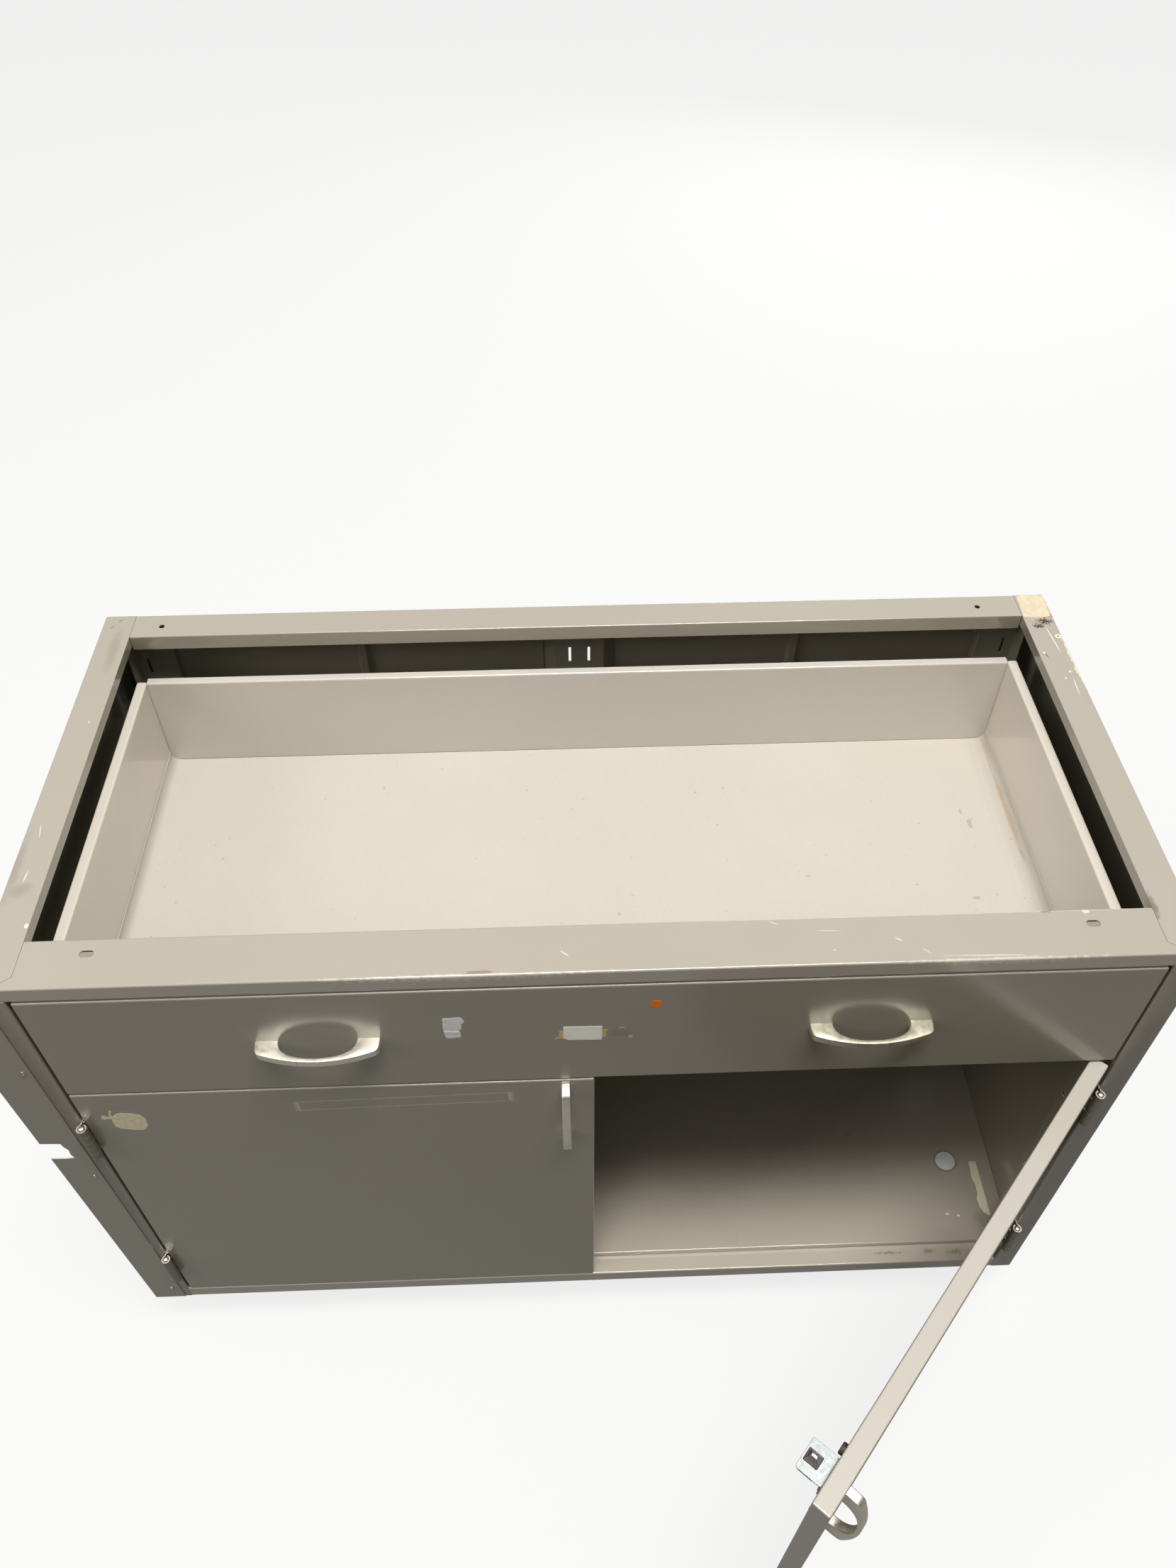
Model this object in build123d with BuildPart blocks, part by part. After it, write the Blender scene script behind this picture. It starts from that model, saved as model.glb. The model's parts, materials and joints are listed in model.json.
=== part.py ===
from build123d import *
import math
import os

os.makedirs("parts", exist_ok=True)

# Steel base cabinet without its worktop: one wide drawer over a pair of hinged doors.
# Millimetres. +X is the viewer's right, +Y the back, +Z up; the origin is on the floor, under
# the middle of the cabinet body.

# ---- cabinet body ----
WIDTH = 1194.0          # over the side sheets (47 in)
DEPTH = 560.0           # frame front face to back flange
HEIGHT = 871.0          # floor to worktop seat
TOE_HEIGHT = 101.0      # underside of the bottom rail
TOE_DEPTH = 76.0        # toe kick set back from the front
GAUGE = 1.2             # body sheet
BEND = 2.0              # outside bend radius
STILE = 28.6            # face width of each front stile
STILE_RETURN = 50.0     # how far the stile folds back into the cabinet
BACK_FLANGE = 25.0      # side sheet folded in behind the back
SEAM = 0.4              # gap where two seat flanges meet
FIT = 0.2               # play of a cross rail between the stiles
BODY_FIT = 0.4          # play of the floor and the base between the side sheets
X_OUT = WIDTH / 2
X_IN = X_OUT - GAUGE
X_STILE = X_OUT - STILE
X_RAIL = X_STILE - FIT
X_FLOOR = X_IN - BODY_FIT
Y_FRONT = -DEPTH / 2
Y_BACK = DEPTH / 2
Y_TOE = Y_FRONT + TOE_DEPTH

# ---- worktop seat ----
TOP_FLANGE = 38.0       # side flange of the worktop seat
FLANGE_LIP = 14.0       # its turned-down inner edge
LIP_GAP = 0.7           # between that edge and the rails
FRONT_RAIL_DEPTH = 57.3
REAR_RAIL_DEPTH = 42.2
RAIL_LIP = 20.0         # turned-down edges of both rails
RAIL_FACE = 20.8        # visible face of the top front rail
RAIL_SHELF = 18.0       # its fold under the face
FACE_LAP = 11.1         # how far the notch for that face runs into the stile
NOTCH_GAP = 0.3
MITRE = 15.0            # depth of the mitred corner
SLOT_SIZE = (14.5, 8.0)
SLOT_INSET = (103.0, 39.5)
HOLE_R = 3.5
HOLE_INSETS = (74.0, 90.0)
HOLE_BACK = 22.4
X_FLANGE = X_OUT - TOP_FLANGE
X_NOTCH = X_STILE + FACE_LAP
Z_FACE = HEIGHT - RAIL_FACE

# ---- fronts: one drawer over two doors, all the same thickness ----
FRONT_THICK = 19.0
SIDE_GAP = 3.4          # drawer front to stile
HEAD_GAP = 3.7          # drawer front to top front rail
FRONT_GAP = 3.8         # drawer front to doors
FOOT_GAP = 2.2          # doors to the recess under them
DRAWER_FRONT = 174.7    # height of the drawer front
PAN_RIM = 9.0
RIM_PLAY = 0.3
SCREW_R = 2.0
SCREW_HEAD = (4.0, 2.2)
SCREW_PLAY = 0.3
Z_RABBET = 125.5        # door recess in the bottom rail
RABBET_DEPTH = 40.0
FLOOR_STEP = 10.5       # cupboard floor above that recess
Z_FLOOR = Z_RABBET + FLOOR_STEP
DRAWER_Z = (Z_FACE - HEAD_GAP - DRAWER_FRONT, Z_FACE - HEAD_GAP)
DOOR_Z = (Z_RABBET + FOOT_GAP, DRAWER_Z[0] - FRONT_GAP)
DRAWER_HALF = X_STILE - SIDE_GAP
FRONT_Y = (Y_FRONT, Y_FRONT + FRONT_THICK)

# ---- rail behind the meeting of drawer front and doors ----
STOP_GAP = 5.0          # behind the fronts, room for the bumpers
MID_RAIL_DEPTH = 27.0
MID_RAIL_HEIGHT = 16.2
MID_GAP = 1.8           # door tops to the rail's underside
Y_STOP = FRONT_Y[1] + STOP_GAP
Z_MID_RAIL = DOOR_Z[1] + MID_GAP

# ---- floor, base and levelling screws ----
PLUG_INSET = 67.0
PLUG_FRONT = 144.0
PLUG_BACK = 50.0
PLUG_HOLE_R = 12.7
PLUG_CAP = (14.5, 1.8)
BASE_BACK = 2.5         # base short of the back flange
BASE_LIP = 25.0
CHANNEL = (40.0, 20.0)
CHANNEL_GAUGE = 1.5
Z_CHANNEL = 82.0
LEVELLER_R = 6.0
LEVELLER_FOOT = (18.0, 6.0)
LEVELLER_NUT = (9.8, 10.0)
LEVELLER_TOP = 110.0
PLUG_SPOTS = [
    (x, y) for x in (PLUG_INSET - X_OUT, X_OUT - PLUG_INSET)
    for y in (Y_FRONT + PLUG_FRONT, Y_BACK - PLUG_BACK)
]

# ---- back: panels, slotted posts and the shelf that hooks into them ----
PANEL_SET = 5.0         # panel face inside the back flange
PANEL_GAUGE = 0.9
PANEL_GAP = 0.5
PANEL_DROP = 40.0       # top of the panels under the seat
PANEL_LIP = 9.4
RIB_X = 281.5
RIB = (4.5, 3.5, 6.5)   # half its flat, its slope, its depth
POST_DEPTH = 13.0
POST_WIDTH = 48.6
POST_INSET = 27.4
POST_WING = 24.0
POST_DROP = 22.8        # top of the posts under the seat
POST_SLOT_IN = 13.3
CENTRE_DEPTH = 11.0
CENTRE_FACE = 32.0
CENTRE_SLOPE = 14.0
CENTRE_WING = 14.0
CENTRE_SLOT_X = 12.4
SLOT_DROP = 68.0
SLOT_PITCH = 63.5
SLOT_HALF = (1.6, 12.0)
STAND_UP = 0.2          # posts and panels over the floor
SHELF_UP = 284.0        # wanted height over the cupboard floor, met at the nearest slot
SHELF_RISE = 61.5       # shelf over the slot that carries it
SHELF_DEPTH = 241.5
SHELF_FOLD = 25.0
SHELF_HEM = 12.0
SHELF_PLAY = 1.4
BRACKET_THICK = 2.0
BRACKET_SHORT = 25.0    # short of the shelf's front
BRACKET_NOSE = 9.8
BRACKET_FOOT = 18.5     # heel under the slot's middle
HOOK = (6.2, 20.0)
Y_PANEL = Y_BACK - PANEL_SET
Y_POST = Y_PANEL - POST_DEPTH
Y_CENTRE = Y_PANEL - CENTRE_DEPTH
X_POST = X_OUT - POST_INSET
X_SLOT = X_POST - POST_SLOT_IN

# ---- runners: channel on the cabinet, rail on the drawer ----
RUNNER_WIDTH = 11.2
RUNNER_HEIGHT = 24.0
RUNNER_RISE = 28.2      # over the drawer front's lower edge
RUNNER_END = 3.0        # behind the drawer front
RUNNER_TAB = 12.2
SLIDE_GAP = 1.7         # runner to drawer box
RAIL_PLAY = 0.7
ROLLER_R = 9.0
REAR_ROLLER_R = 9.2
ROLLER_WIDTH = 8.0
ROLLER_PLAY = 0.7
AXLE_R = 3.0
AXLE_HEAD_R = 4.4
FRONT_ROLLER_SET = 40.0
REAR_ROLLER_SET = 12.0
RUNNER_Z = (DRAWER_Z[0] + RUNNER_RISE, DRAWER_Z[0] + RUNNER_RISE + RUNNER_HEIGHT)
X_RUNNER = X_STILE - RUNNER_WIDTH
X_WEB = X_STILE - GAUGE
Z_RAIL_TOP = RUNNER_Z[1] - GAUGE - RAIL_PLAY

# ---- drawer box ----
BOX_WALL = 12.5         # double wall, folded over at the top
BOX_BACK_WALL = 12.0
BOX_GAUGE = 1.0
BOX_BEND = 2.5
BOX_COVE = 12.0         # radius where the bottom turns up
BOX_DROP = 21.5         # box under the drawer front's top edge
BOX_RISE = 19.2         # drawer floor over its lower edge
BOX_UP = 15.0
BEHIND_BOX = 66.4       # box to the back of the cabinet
BACK_TAIL = 9.0
BOX_HALF = X_RUNNER - SLIDE_GAP
BOX_IN = BOX_HALF - BOX_WALL
BOX_TOP = DRAWER_Z[1] - BOX_DROP
BOX_FLOOR = DRAWER_Z[0] + BOX_RISE
BOX_REAR = Y_BACK - BEHIND_BOX
RAIL_END = BOX_REAR - 9.6
FRONT_ROLLER = (Y_FRONT + FRONT_ROLLER_SET, Z_RAIL_TOP - GAUGE - 0.3 - ROLLER_R)
REAR_ROLLER = (RAIL_END - REAR_ROLLER_SET, RUNNER_Z[0] + GAUGE + 0.35 + REAR_ROLLER_R)
FRONT_ROLLER_X = X_WEB - ROLLER_PLAY - ROLLER_WIDTH
REAR_ROLLER_X = BOX_HALF + GAUGE + ROLLER_PLAY - 0.1

# ---- hinges ----
LEAF = 1.2
LEAF_GAP = 0.8
BARREL_R = 5.75
PIN_R = 2.5
PIN_CAP = (4.3, 2.6)
PIN_CLEAR = 2.25        # barrel to the fronts' face
HINGE_LENGTH = 64.0
HINGE_INSET = (89.3, 89.0)
KNUCKLE_GAP = 0.4
STILE_LEAF_IN = 15.0    # stile leaf short of the stile's return
PIN_X = X_STILE - LEAF - LEAF_GAP / 2
PIN_OUT = BARREL_R + PIN_CLEAR
PIN_Y = Y_FRONT - PIN_OUT
HINGE_Z = (DOOR_Z[1] - HINGE_INSET[1], DOOR_Z[0] + HINGE_INSET[0])

# ---- doors, in a door's own frame: u from the pin towards the free edge, w inwards ----
DOOR_MEET = 1.2         # free edge to the cabinet's middle
DOOR_OPEN = 47.85       # how far the right door stands open, degrees
DOOR_U = (LEAF + LEAF_GAP / 2, PIN_X - DOOR_MEET)
DOOR_W = (PIN_OUT, PIN_OUT + FRONT_THICK)

# ---- pulls ----
PULL_LENGTH = 127.0
PULL_REACH = 26.0
PULL_WIDTH = 9.5
PULL_BAR = 5.0
PULL_FOOT = 23.7
PULL_SHOULDER = 14.2    # height of the legs where the arch begins
PULL_LEAN = 1.2
PULL_CORNER = 7.5
PULL_EDGE = 1.3
PULL_SCREWS = 101.6
PULL_BITE = 7.0         # screw length inside the pull
DRAWER_PULL_X = 283.0
DRAWER_PULL_DROP = 85.0
DOOR_PULL_EDGE = 31.5
DOOR_PULL_DROP = 72.0
DRAWER_PULL_Z = DRAWER_Z[1] - DRAWER_PULL_DROP
DOOR_PULL_U = DOOR_U[1] - DOOR_PULL_EDGE
DOOR_PULL_Z = DOOR_Z[1] - DOOR_PULL_DROP

# ---- catches ----
CATCH_EDGE = 33.0
CATCH_DEPTH = 17.7      # bolt's middle behind the door's inner face
CATCH_DROP = 9.5
CATCH_HALF = 15.5
CATCH_PLATE = (27.0, 1.6)
CATCH_LEG = 24.5
GUIDE_WALL = 1.4
GUIDE_DROP = 31.5
BOLT_SIZE = (11.5, 13.5)
BOLT_PLAY = 0.35
BOLT_TAIL = 20.5
BOLT_SHOULDER = 1.5
STRIKE_GAUGE = 1.2
STRIKE_HALF = (16.0, 11.0)
STRIKE_PLAY = (2.25, 0.75)
BUMPER_R = 6.0
BUMPER_EDGE = 57.5
BUMPER_DROP = 13.0
BUMPER_THICK = 4.3
CATCH_U = DOOR_U[1] - CATCH_EDGE
CATCH_W = DOOR_W[1] + CATCH_DEPTH
CATCH_TOP = DOOR_Z[1] - CATCH_DROP

parts = {}


def keep(part, label):
    """Name a finished piece and list it for export."""
    part.label = label
    parts[label] = part


def plan(z):
    """Sketch plane seen from above; extrudes upwards."""
    return Plane(origin=(0, 0, z), x_dir=(1, 0, 0), z_dir=(0, 0, 1))


def section_x(x):
    """Sketch plane across the width (local x is Y, local y is Z); extrudes towards +X."""
    return Plane(origin=(x, 0, 0), x_dir=(0, 1, 0), z_dir=(1, 0, 0))


def section_y(y):
    """Sketch plane seen from the front (local x is X, local y is Z); extrudes towards -Y."""
    return Plane(origin=(0, y, 0), x_dir=(1, 0, 0), z_dir=(0, -1, 0))


def slab(x, y, z, mode=Mode.ADD, frame=Plane.XY):
    """Box between two limits on each axis of a frame."""
    centre = (sum(x) / 2, sum(y) / 2, sum(z) / 2)
    with Locations(frame.location * Location(centre)):
        Box(abs(x[1] - x[0]), abs(y[1] - y[0]), abs(z[1] - z[0]), mode=mode)


def rod(radius, start, end, mode=Mode.ADD, frame=Plane.XY):
    """Cylinder between two points of a frame."""
    a = frame.from_local_coords(Vector(*start))
    b = frame.from_local_coords(Vector(*end))
    with BuildSketch(Plane(origin=a, z_dir=(b - a).normalized())) as disc:
        Circle(radius)
    extrude(disc.sketch, amount=(b - a).length, mode=mode)


def either(side, points):
    """Points of a folded line for the right side, or mirrored for the left."""
    return points if side > 0 else [(-x, y) for x, y in reversed(points)]


def at_spots(vertices, spots):
    return [v for v in vertices if min(math.dist((v.X, v.Y), p) for p in spots) < 1e-3]


def fold(sketch, points, gauge=GAUGE, bend=BEND):
    """Section of sheet folded along points; the sheet lies to the left of the line."""
    steps = [Vector(*b) - Vector(*a) for a, b in zip(points, points[1:])]
    steps = [s.normalized() for s in steps]
    normals = [Vector(-s.Y, s.X) for s in steps]
    inner = [Vector(*points[0]) + normals[0] * gauge]
    outer_spots = []
    inner_spots = []
    for i in range(1, len(points) - 1):
        a, b = normals[i - 1], normals[i]
        other = Vector(*points[i]) + (a + b) * (gauge / (1 + a.dot(b)))
        inner.append(other)
        left_turn = steps[i - 1].X * steps[i].Y - steps[i - 1].Y * steps[i].X > 0
        here, there = (points[i][0], points[i][1]), (other.X, other.Y)
        outer_spots.append(here if left_turn else there)
        inner_spots.append(there if left_turn else here)
    inner.append(Vector(*points[-1]) + normals[-1] * gauge)
    outline = [(p[0], p[1]) for p in points] + [(v.X, v.Y) for v in reversed(inner)]
    Polygon(*outline, align=None)
    if outer_spots:
        fillet(at_spots(sketch.vertices(), outer_spots), radius=bend)
        fillet(at_spots(sketch.vertices(), inner_spots), radius=bend - gauge)


def folded_bar(plane, points, length, gauge=GAUGE, bend=BEND):
    """Length of folded sheet, extruded from a plane."""
    with BuildSketch(plane) as sketch:
        fold(sketch, points, gauge, bend)
    extrude(sketch.sketch, amount=length)


def post_slots():
    """Heights of the shelf slots down every back post."""
    top = HEIGHT - SLOT_DROP
    count = int((top - Z_FLOOR - 30) / SLOT_PITCH) + 1
    return [top - SLOT_PITCH * i for i in range(count)]


# ---- side walls: one sheet each, folded into front stile, back flange and seat flange ----
def side_wall(side):
    s = side
    with BuildPart() as wall:
        folded_bar(
            plan(TOE_HEIGHT),
            either(s, [
                (X_STILE, Y_FRONT + STILE_RETURN),
                (X_STILE, Y_FRONT),
                (X_OUT, Y_FRONT),
                (X_OUT, Y_BACK),
                (X_OUT - BACK_FLANGE, Y_BACK),
            ]),
            HEIGHT - TOE_HEIGHT,
        )
        folded_bar(
            plan(0),
            either(s, [(X_OUT, Y_TOE), (X_OUT, Y_BACK), (X_OUT - BACK_FLANGE, Y_BACK)]),
            TOE_HEIGHT,
        )
        # the top front rail's face lies in a notch at the head of the stile
        foot = Z_FACE - NOTCH_GAP
        slab(
            (s * (X_STILE - 1), s * X_NOTCH), (Y_FRONT - 1, Y_FRONT + GAUGE + NOTCH_GAP),
            (foot, HEIGHT + 1), Mode.SUBTRACT,
        )
        x_in = X_FLANGE + SEAM / 2
        with BuildSketch(plan(HEIGHT - GAUGE)) as flange:
            with Locations((s * (x_in + X_OUT) / 2, 0)):
                Rectangle(X_OUT - x_in, DEPTH)
            fillet(flange.vertices().group_by(Axis.X)[-1 if s > 0 else 0], radius=BEND)
        extrude(amount=GAUGE)
        lip = (Y_FRONT + FRONT_RAIL_DEPTH + LIP_GAP, Y_BACK - REAR_RAIL_DEPTH - LIP_GAP - 0.1)
        slab((s * x_in, s * (x_in + GAUGE)), lip, (HEIGHT - FLANGE_LIP, HEIGHT))
        # mitre against the front rail
        with BuildSketch(plan(foot)):
            Polygon(
                (s * (x_in - 10), Y_FRONT + MITRE), (s * x_in, Y_FRONT + MITRE),
                (s * (X_NOTCH - 0.1), Y_FRONT), (s * (X_NOTCH + 2.5), Y_FRONT - 2),
                (s * (x_in - 10), Y_FRONT - 2), align=None,
            )
        extrude(amount=25, mode=Mode.SUBTRACT)
        head = wall.edges().filter_by(
            lambda e: e.center().Z > HEIGHT - 0.01
            and (abs(e.center().X) > X_OUT - 0.8 or abs(abs(e.center().Y) - Y_BACK) < 0.8)
        )
        fillet(head, radius=1.1)
    return wall.part


keep(side_wall(-1), "side_left")
keep(side_wall(1), "side_right")

# ---- worktop seat: front and rear rails between the side flanges ----
with BuildPart() as top_front_rail:
    folded_bar(
        section_x(0.5 - X_NOTCH),
        [
            (Y_FRONT + FRONT_RAIL_DEPTH, HEIGHT - RAIL_LIP),
            (Y_FRONT + FRONT_RAIL_DEPTH, HEIGHT),
            (Y_FRONT, HEIGHT),
            (Y_FRONT, Z_FACE),
            (Y_FRONT + RAIL_SHELF, Z_FACE),
        ],
        2 * X_NOTCH - 1,
    )
    for s in (-1, 1):
        x_end = X_FLANGE - SEAM / 2
        behind = Y_FRONT + FRONT_RAIL_DEPTH + 7.7
        with BuildSketch(plan(Z_FACE - 5)):
            Polygon(
                (s * x_end, behind), (s * x_end, Y_FRONT + MITRE - 0.2),
                (s * (X_NOTCH - 0.7), Y_FRONT), (s * (X_NOTCH + 2), Y_FRONT - 2),
                (s * (X_OUT + 3), Y_FRONT - 2), (s * (X_OUT + 3), behind), align=None,
            )
        extrude(amount=RAIL_FACE + 10, mode=Mode.SUBTRACT)
    slot_x = X_OUT - SLOT_INSET[0]
    with BuildSketch(plan(HEIGHT - 5)):
        with Locations((-slot_x, Y_FRONT + SLOT_INSET[1]), (slot_x, Y_FRONT + SLOT_INSET[1])):
            SlotOverall(*SLOT_SIZE)
    extrude(amount=10, mode=Mode.SUBTRACT)
keep(top_front_rail.part, "top_front_rail")

with BuildPart() as top_rear_rail:
    folded_bar(
        section_x(SEAM / 2 - X_FLANGE),
        [
            (Y_BACK, HEIGHT - RAIL_LIP),
            (Y_BACK, HEIGHT),
            (Y_BACK - REAR_RAIL_DEPTH, HEIGHT),
            (Y_BACK - REAR_RAIL_DEPTH, HEIGHT - RAIL_LIP),
        ],
        2 * (X_FLANGE - SEAM / 2),
    )
    y = Y_BACK - HOLE_BACK
    with BuildSketch(plan(HEIGHT - 5)):
        with Locations((HOLE_INSETS[0] - X_OUT, y), (X_OUT - HOLE_INSETS[1], y)):
            Circle(HOLE_R)
    extrude(amount=10, mode=Mode.SUBTRACT)
keep(top_rear_rail.part, "top_rear_rail")

# ---- rail hidden behind the meeting of drawer front and doors ----
X_BOLT = PIN_X - CATCH_U
Y_BOLT = PIN_Y + CATCH_W
BOLT_HALF = (BOLT_SIZE[0] / 2, BOLT_SIZE[1] / 2)
with BuildPart() as mid_rail:
    z = Z_MID_RAIL + MID_RAIL_HEIGHT
    y = Y_STOP + MID_RAIL_DEPTH
    folded_bar(section_x(-X_RAIL), [(y, z), (Y_STOP, z), (Y_STOP, Z_MID_RAIL), (y, Z_MID_RAIL)], 2 * X_RAIL)
    low = DOOR_Z[1] - BUMPER_DROP - BUMPER_R - 3
    play = (BOLT_HALF[0] + STRIKE_PLAY[0] + 0.5, BOLT_HALF[1] + STRIKE_PLAY[1] + 0.5)
    for s in (-1, 1):
        slab(
            (s * (X_BOLT + CATCH_HALF + 1.8), s * X_RAIL), (Y_STOP, Y_STOP + GAUGE),
            (low, Z_MID_RAIL + 3),
        )
        slab(
            (s * X_BOLT - play[0], s * X_BOLT + play[0]), (Y_BOLT - play[1], Y_BOLT + play[1]),
            (Z_MID_RAIL - 1, Z_MID_RAIL + 2), Mode.SUBTRACT,
        )
keep(mid_rail.part, "mid_rail")

with BuildPart() as catch_strikes:
    play = (BOLT_HALF[0] + STRIKE_PLAY[0], BOLT_HALF[1] + STRIKE_PLAY[1])
    for s in (-1, 1):
        x = s * X_BOLT
        slab(
            (x - STRIKE_HALF[0], x + STRIKE_HALF[0]), (Y_BOLT - STRIKE_HALF[1], Y_BOLT + STRIKE_HALF[1]),
            (Z_MID_RAIL - STRIKE_GAUGE, Z_MID_RAIL),
        )
        slab(
            (x - play[0], x + play[0]), (Y_BOLT - play[1], Y_BOLT + play[1]),
            (Z_MID_RAIL - STRIKE_GAUGE - 1, Z_MID_RAIL + 1), Mode.SUBTRACT,
        )
keep(catch_strikes.part, "catch_strikes")

# ---- bottom rail with the recess that the doors close into ----
with BuildPart() as bottom_rail:
    folded_bar(
        section_x(-X_RAIL),
        [
            (Y_FRONT + RABBET_DEPTH, Z_RABBET), (Y_FRONT, Z_RABBET), (Y_FRONT, TOE_HEIGHT),
            (Y_TOE - 0.3, TOE_HEIGHT), (Y_TOE - 0.3, TOE_HEIGHT + 12),
        ],
        2 * X_RAIL,
    )
keep(bottom_rail.part, "bottom_rail")

with BuildPart() as floor_panel:
    hem = Z_RABBET + GAUGE + RIM_PLAY
    folded_bar(
        section_x(-X_FLOOR),
        [(Y_PANEL - 1, Z_FLOOR), (Y_STOP, Z_FLOOR), (Y_STOP, hem), (Y_STOP + 10, hem)],
        2 * X_FLOOR,
    )
    for s in (-1, 1):
        slab(
            (s * (X_STILE - 0.3), s * X_OUT), (Y_STOP - 2, Y_FRONT + STILE_RETURN + 0.4),
            (Z_RABBET - 5, Z_FLOOR + 4), Mode.SUBTRACT,
        )
    with BuildSketch(plan(Z_FLOOR - 5)):
        with Locations(*PLUG_SPOTS):
            Circle(PLUG_HOLE_R)
    extrude(amount=10, mode=Mode.SUBTRACT)
keep(floor_panel.part, "floor_panel")

with BuildPart() as floor_plugs:
    with BuildSketch(plan(Z_FLOOR)):
        with Locations(*PLUG_SPOTS):
            Circle(PLUG_CAP[0])
    extrude(amount=PLUG_CAP[1])
    fillet(floor_plugs.faces().filter_by(Axis.Z).group_by(Axis.Z)[-1].edges(), radius=1.2)
    with BuildSketch(plan(Z_FLOOR - 5)):
        with Locations(*PLUG_SPOTS):
            Circle(PLUG_HOLE_R - 0.2)
            Circle(PLUG_HOLE_R - 1.4, mode=Mode.SUBTRACT)
    extrude(amount=5)
keep(floor_plugs.part, "floor_plugs")

# ---- recessed base with its levelling screws ----
with BuildPart() as toe_base:
    x, y0, y1 = X_FLOOR, Y_TOE, Y_BACK - BASE_BACK
    slab((-x, x), (y0, y1), (0, TOE_HEIGHT - 0.2))
    x, y0, y1 = x - GAUGE, y0 + GAUGE, y1 - GAUGE
    slab((-x, x), (y0, y1), (GAUGE, TOE_HEIGHT), Mode.SUBTRACT)
    x, y0, y1 = x - BASE_LIP - 0.2, y0 + BASE_LIP - 0.2, y1 - BASE_LIP - 0.3
    slab((-x, x), (y0, y1), (-1, GAUGE + 0.8), Mode.SUBTRACT)
keep(toe_base.part, "toe_base")

with BuildPart() as leveller_channels:
    x = X_FLOOR - GAUGE - 0.2
    for y in sorted({spot[1] for spot in PLUG_SPOTS}):
        y0, y1, z = y - CHANNEL[0] / 2, y + CHANNEL[0] / 2, Z_CHANNEL - CHANNEL[1]
        folded_bar(
            section_x(-x), [(y1, z), (y1, Z_CHANNEL), (y0, Z_CHANNEL), (y0, z)],
            2 * x, gauge=CHANNEL_GAUGE,
        )
    with BuildSketch(plan(Z_CHANNEL - CHANNEL[1] + 8)):
        with Locations(*PLUG_SPOTS):
            Circle(LEVELLER_R + 0.1)
    extrude(amount=CHANNEL[1], mode=Mode.SUBTRACT)
keep(leveller_channels.part, "leveller_channels")

with BuildPart() as levelling_screws:
    with BuildSketch(plan(0)):
        with Locations(*PLUG_SPOTS):
            Circle(LEVELLER_FOOT[0])
    extrude(amount=LEVELLER_FOOT[1])
    fillet(levelling_screws.edges().group_by(Axis.Z)[-1], radius=2)
    with BuildSketch(plan(LEVELLER_FOOT[1])):
        with Locations(*PLUG_SPOTS):
            Circle(LEVELLER_R)
    extrude(amount=LEVELLER_TOP - LEVELLER_FOOT[1])
    with BuildSketch(plan(Z_CHANNEL - CHANNEL_GAUGE - LEVELLER_NUT[1])):
        with Locations(*PLUG_SPOTS):
            RegularPolygon(LEVELLER_NUT[0], 6)
    extrude(amount=LEVELLER_NUT[1])
    for x, y in PLUG_SPOTS:
        slab(
            (x - LEVELLER_R - 1, x + LEVELLER_R + 1), (y - 0.9, y + 0.9),
            (LEVELLER_TOP - 3, LEVELLER_TOP + 1), Mode.SUBTRACT,
        )
keep(levelling_screws.part, "levelling_screws")


# ---- back: slotted posts and ribbed panels ----
def slot_posts(xs, y):
    """Cut the shelf slots through a post face."""
    for x in xs:
        for z in post_slots():
            slab(
                (x - SLOT_HALF[0], x + SLOT_HALF[0]), (y - 2, y + GAUGE + 1.8),
                (z - SLOT_HALF[1], z + SLOT_HALF[1]), Mode.SUBTRACT,
            )


Z_STAND = Z_FLOOR + STAND_UP
with BuildPart() as centre_post:
    slope = CENTRE_FACE + CENTRE_SLOPE
    wing = slope + CENTRE_WING
    y = Y_PANEL + PANEL_GAUGE + PANEL_GAP
    folded_bar(
        plan(Z_STAND),
        [
            (-wing, y), (-slope, y), (-CENTRE_FACE, Y_CENTRE),
            (CENTRE_FACE, Y_CENTRE), (slope, y), (wing, y),
        ],
        HEIGHT - POST_DROP - Z_STAND,
    )
    slot_posts((-CENTRE_SLOT_X, CENTRE_SLOT_X), Y_CENTRE)
keep(centre_post.part, "centre_post")


def corner_post(s):
    x = X_POST - POST_WIDTH
    with BuildPart() as post:
        folded_bar(
            plan(Z_STAND),
            either(s, [(x, Y_PANEL - BODY_FIT), (x, Y_POST), (X_POST, Y_POST), (X_POST, Y_POST - POST_WING)]),
            HEIGHT - POST_DROP - Z_STAND,
        )
        slot_posts((s * X_SLOT,), Y_POST)
    return post.part


def back_panel(s):
    flat, slope, depth = RIB
    inner = CENTRE_FACE + CENTRE_SLOPE + 1
    outer = X_POST + 2.4
    top = HEIGHT - PANEL_DROP
    lip = (Y_PANEL + PANEL_GAUGE - PANEL_LIP, Y_PANEL + PANEL_GAUGE)
    with BuildPart() as panel:
        folded_bar(
            plan(Z_STAND),
            either(s, [
                (inner, Y_PANEL), (RIB_X - flat - slope, Y_PANEL), (RIB_X - flat, Y_PANEL - depth),
                (RIB_X + flat, Y_PANEL - depth), (RIB_X + flat + slope, Y_PANEL), (outer, Y_PANEL),
            ]),
            top - Z_STAND, gauge=PANEL_GAUGE, bend=1.6,
        )
        for x0, x1 in (
            (inner, RIB_X - flat - slope + 2.5), (RIB_X + flat + slope - 1.5, X_POST - POST_WIDTH - 5),
        ):
            slab((s * x0, s * x1), lip, (top - PANEL_GAUGE, top))
    return panel.part


keep(corner_post(-1), "corner_post_left")
keep(corner_post(1), "corner_post_right")
keep(back_panel(-1), "back_panel_left")
keep(back_panel(1), "back_panel_right")

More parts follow.
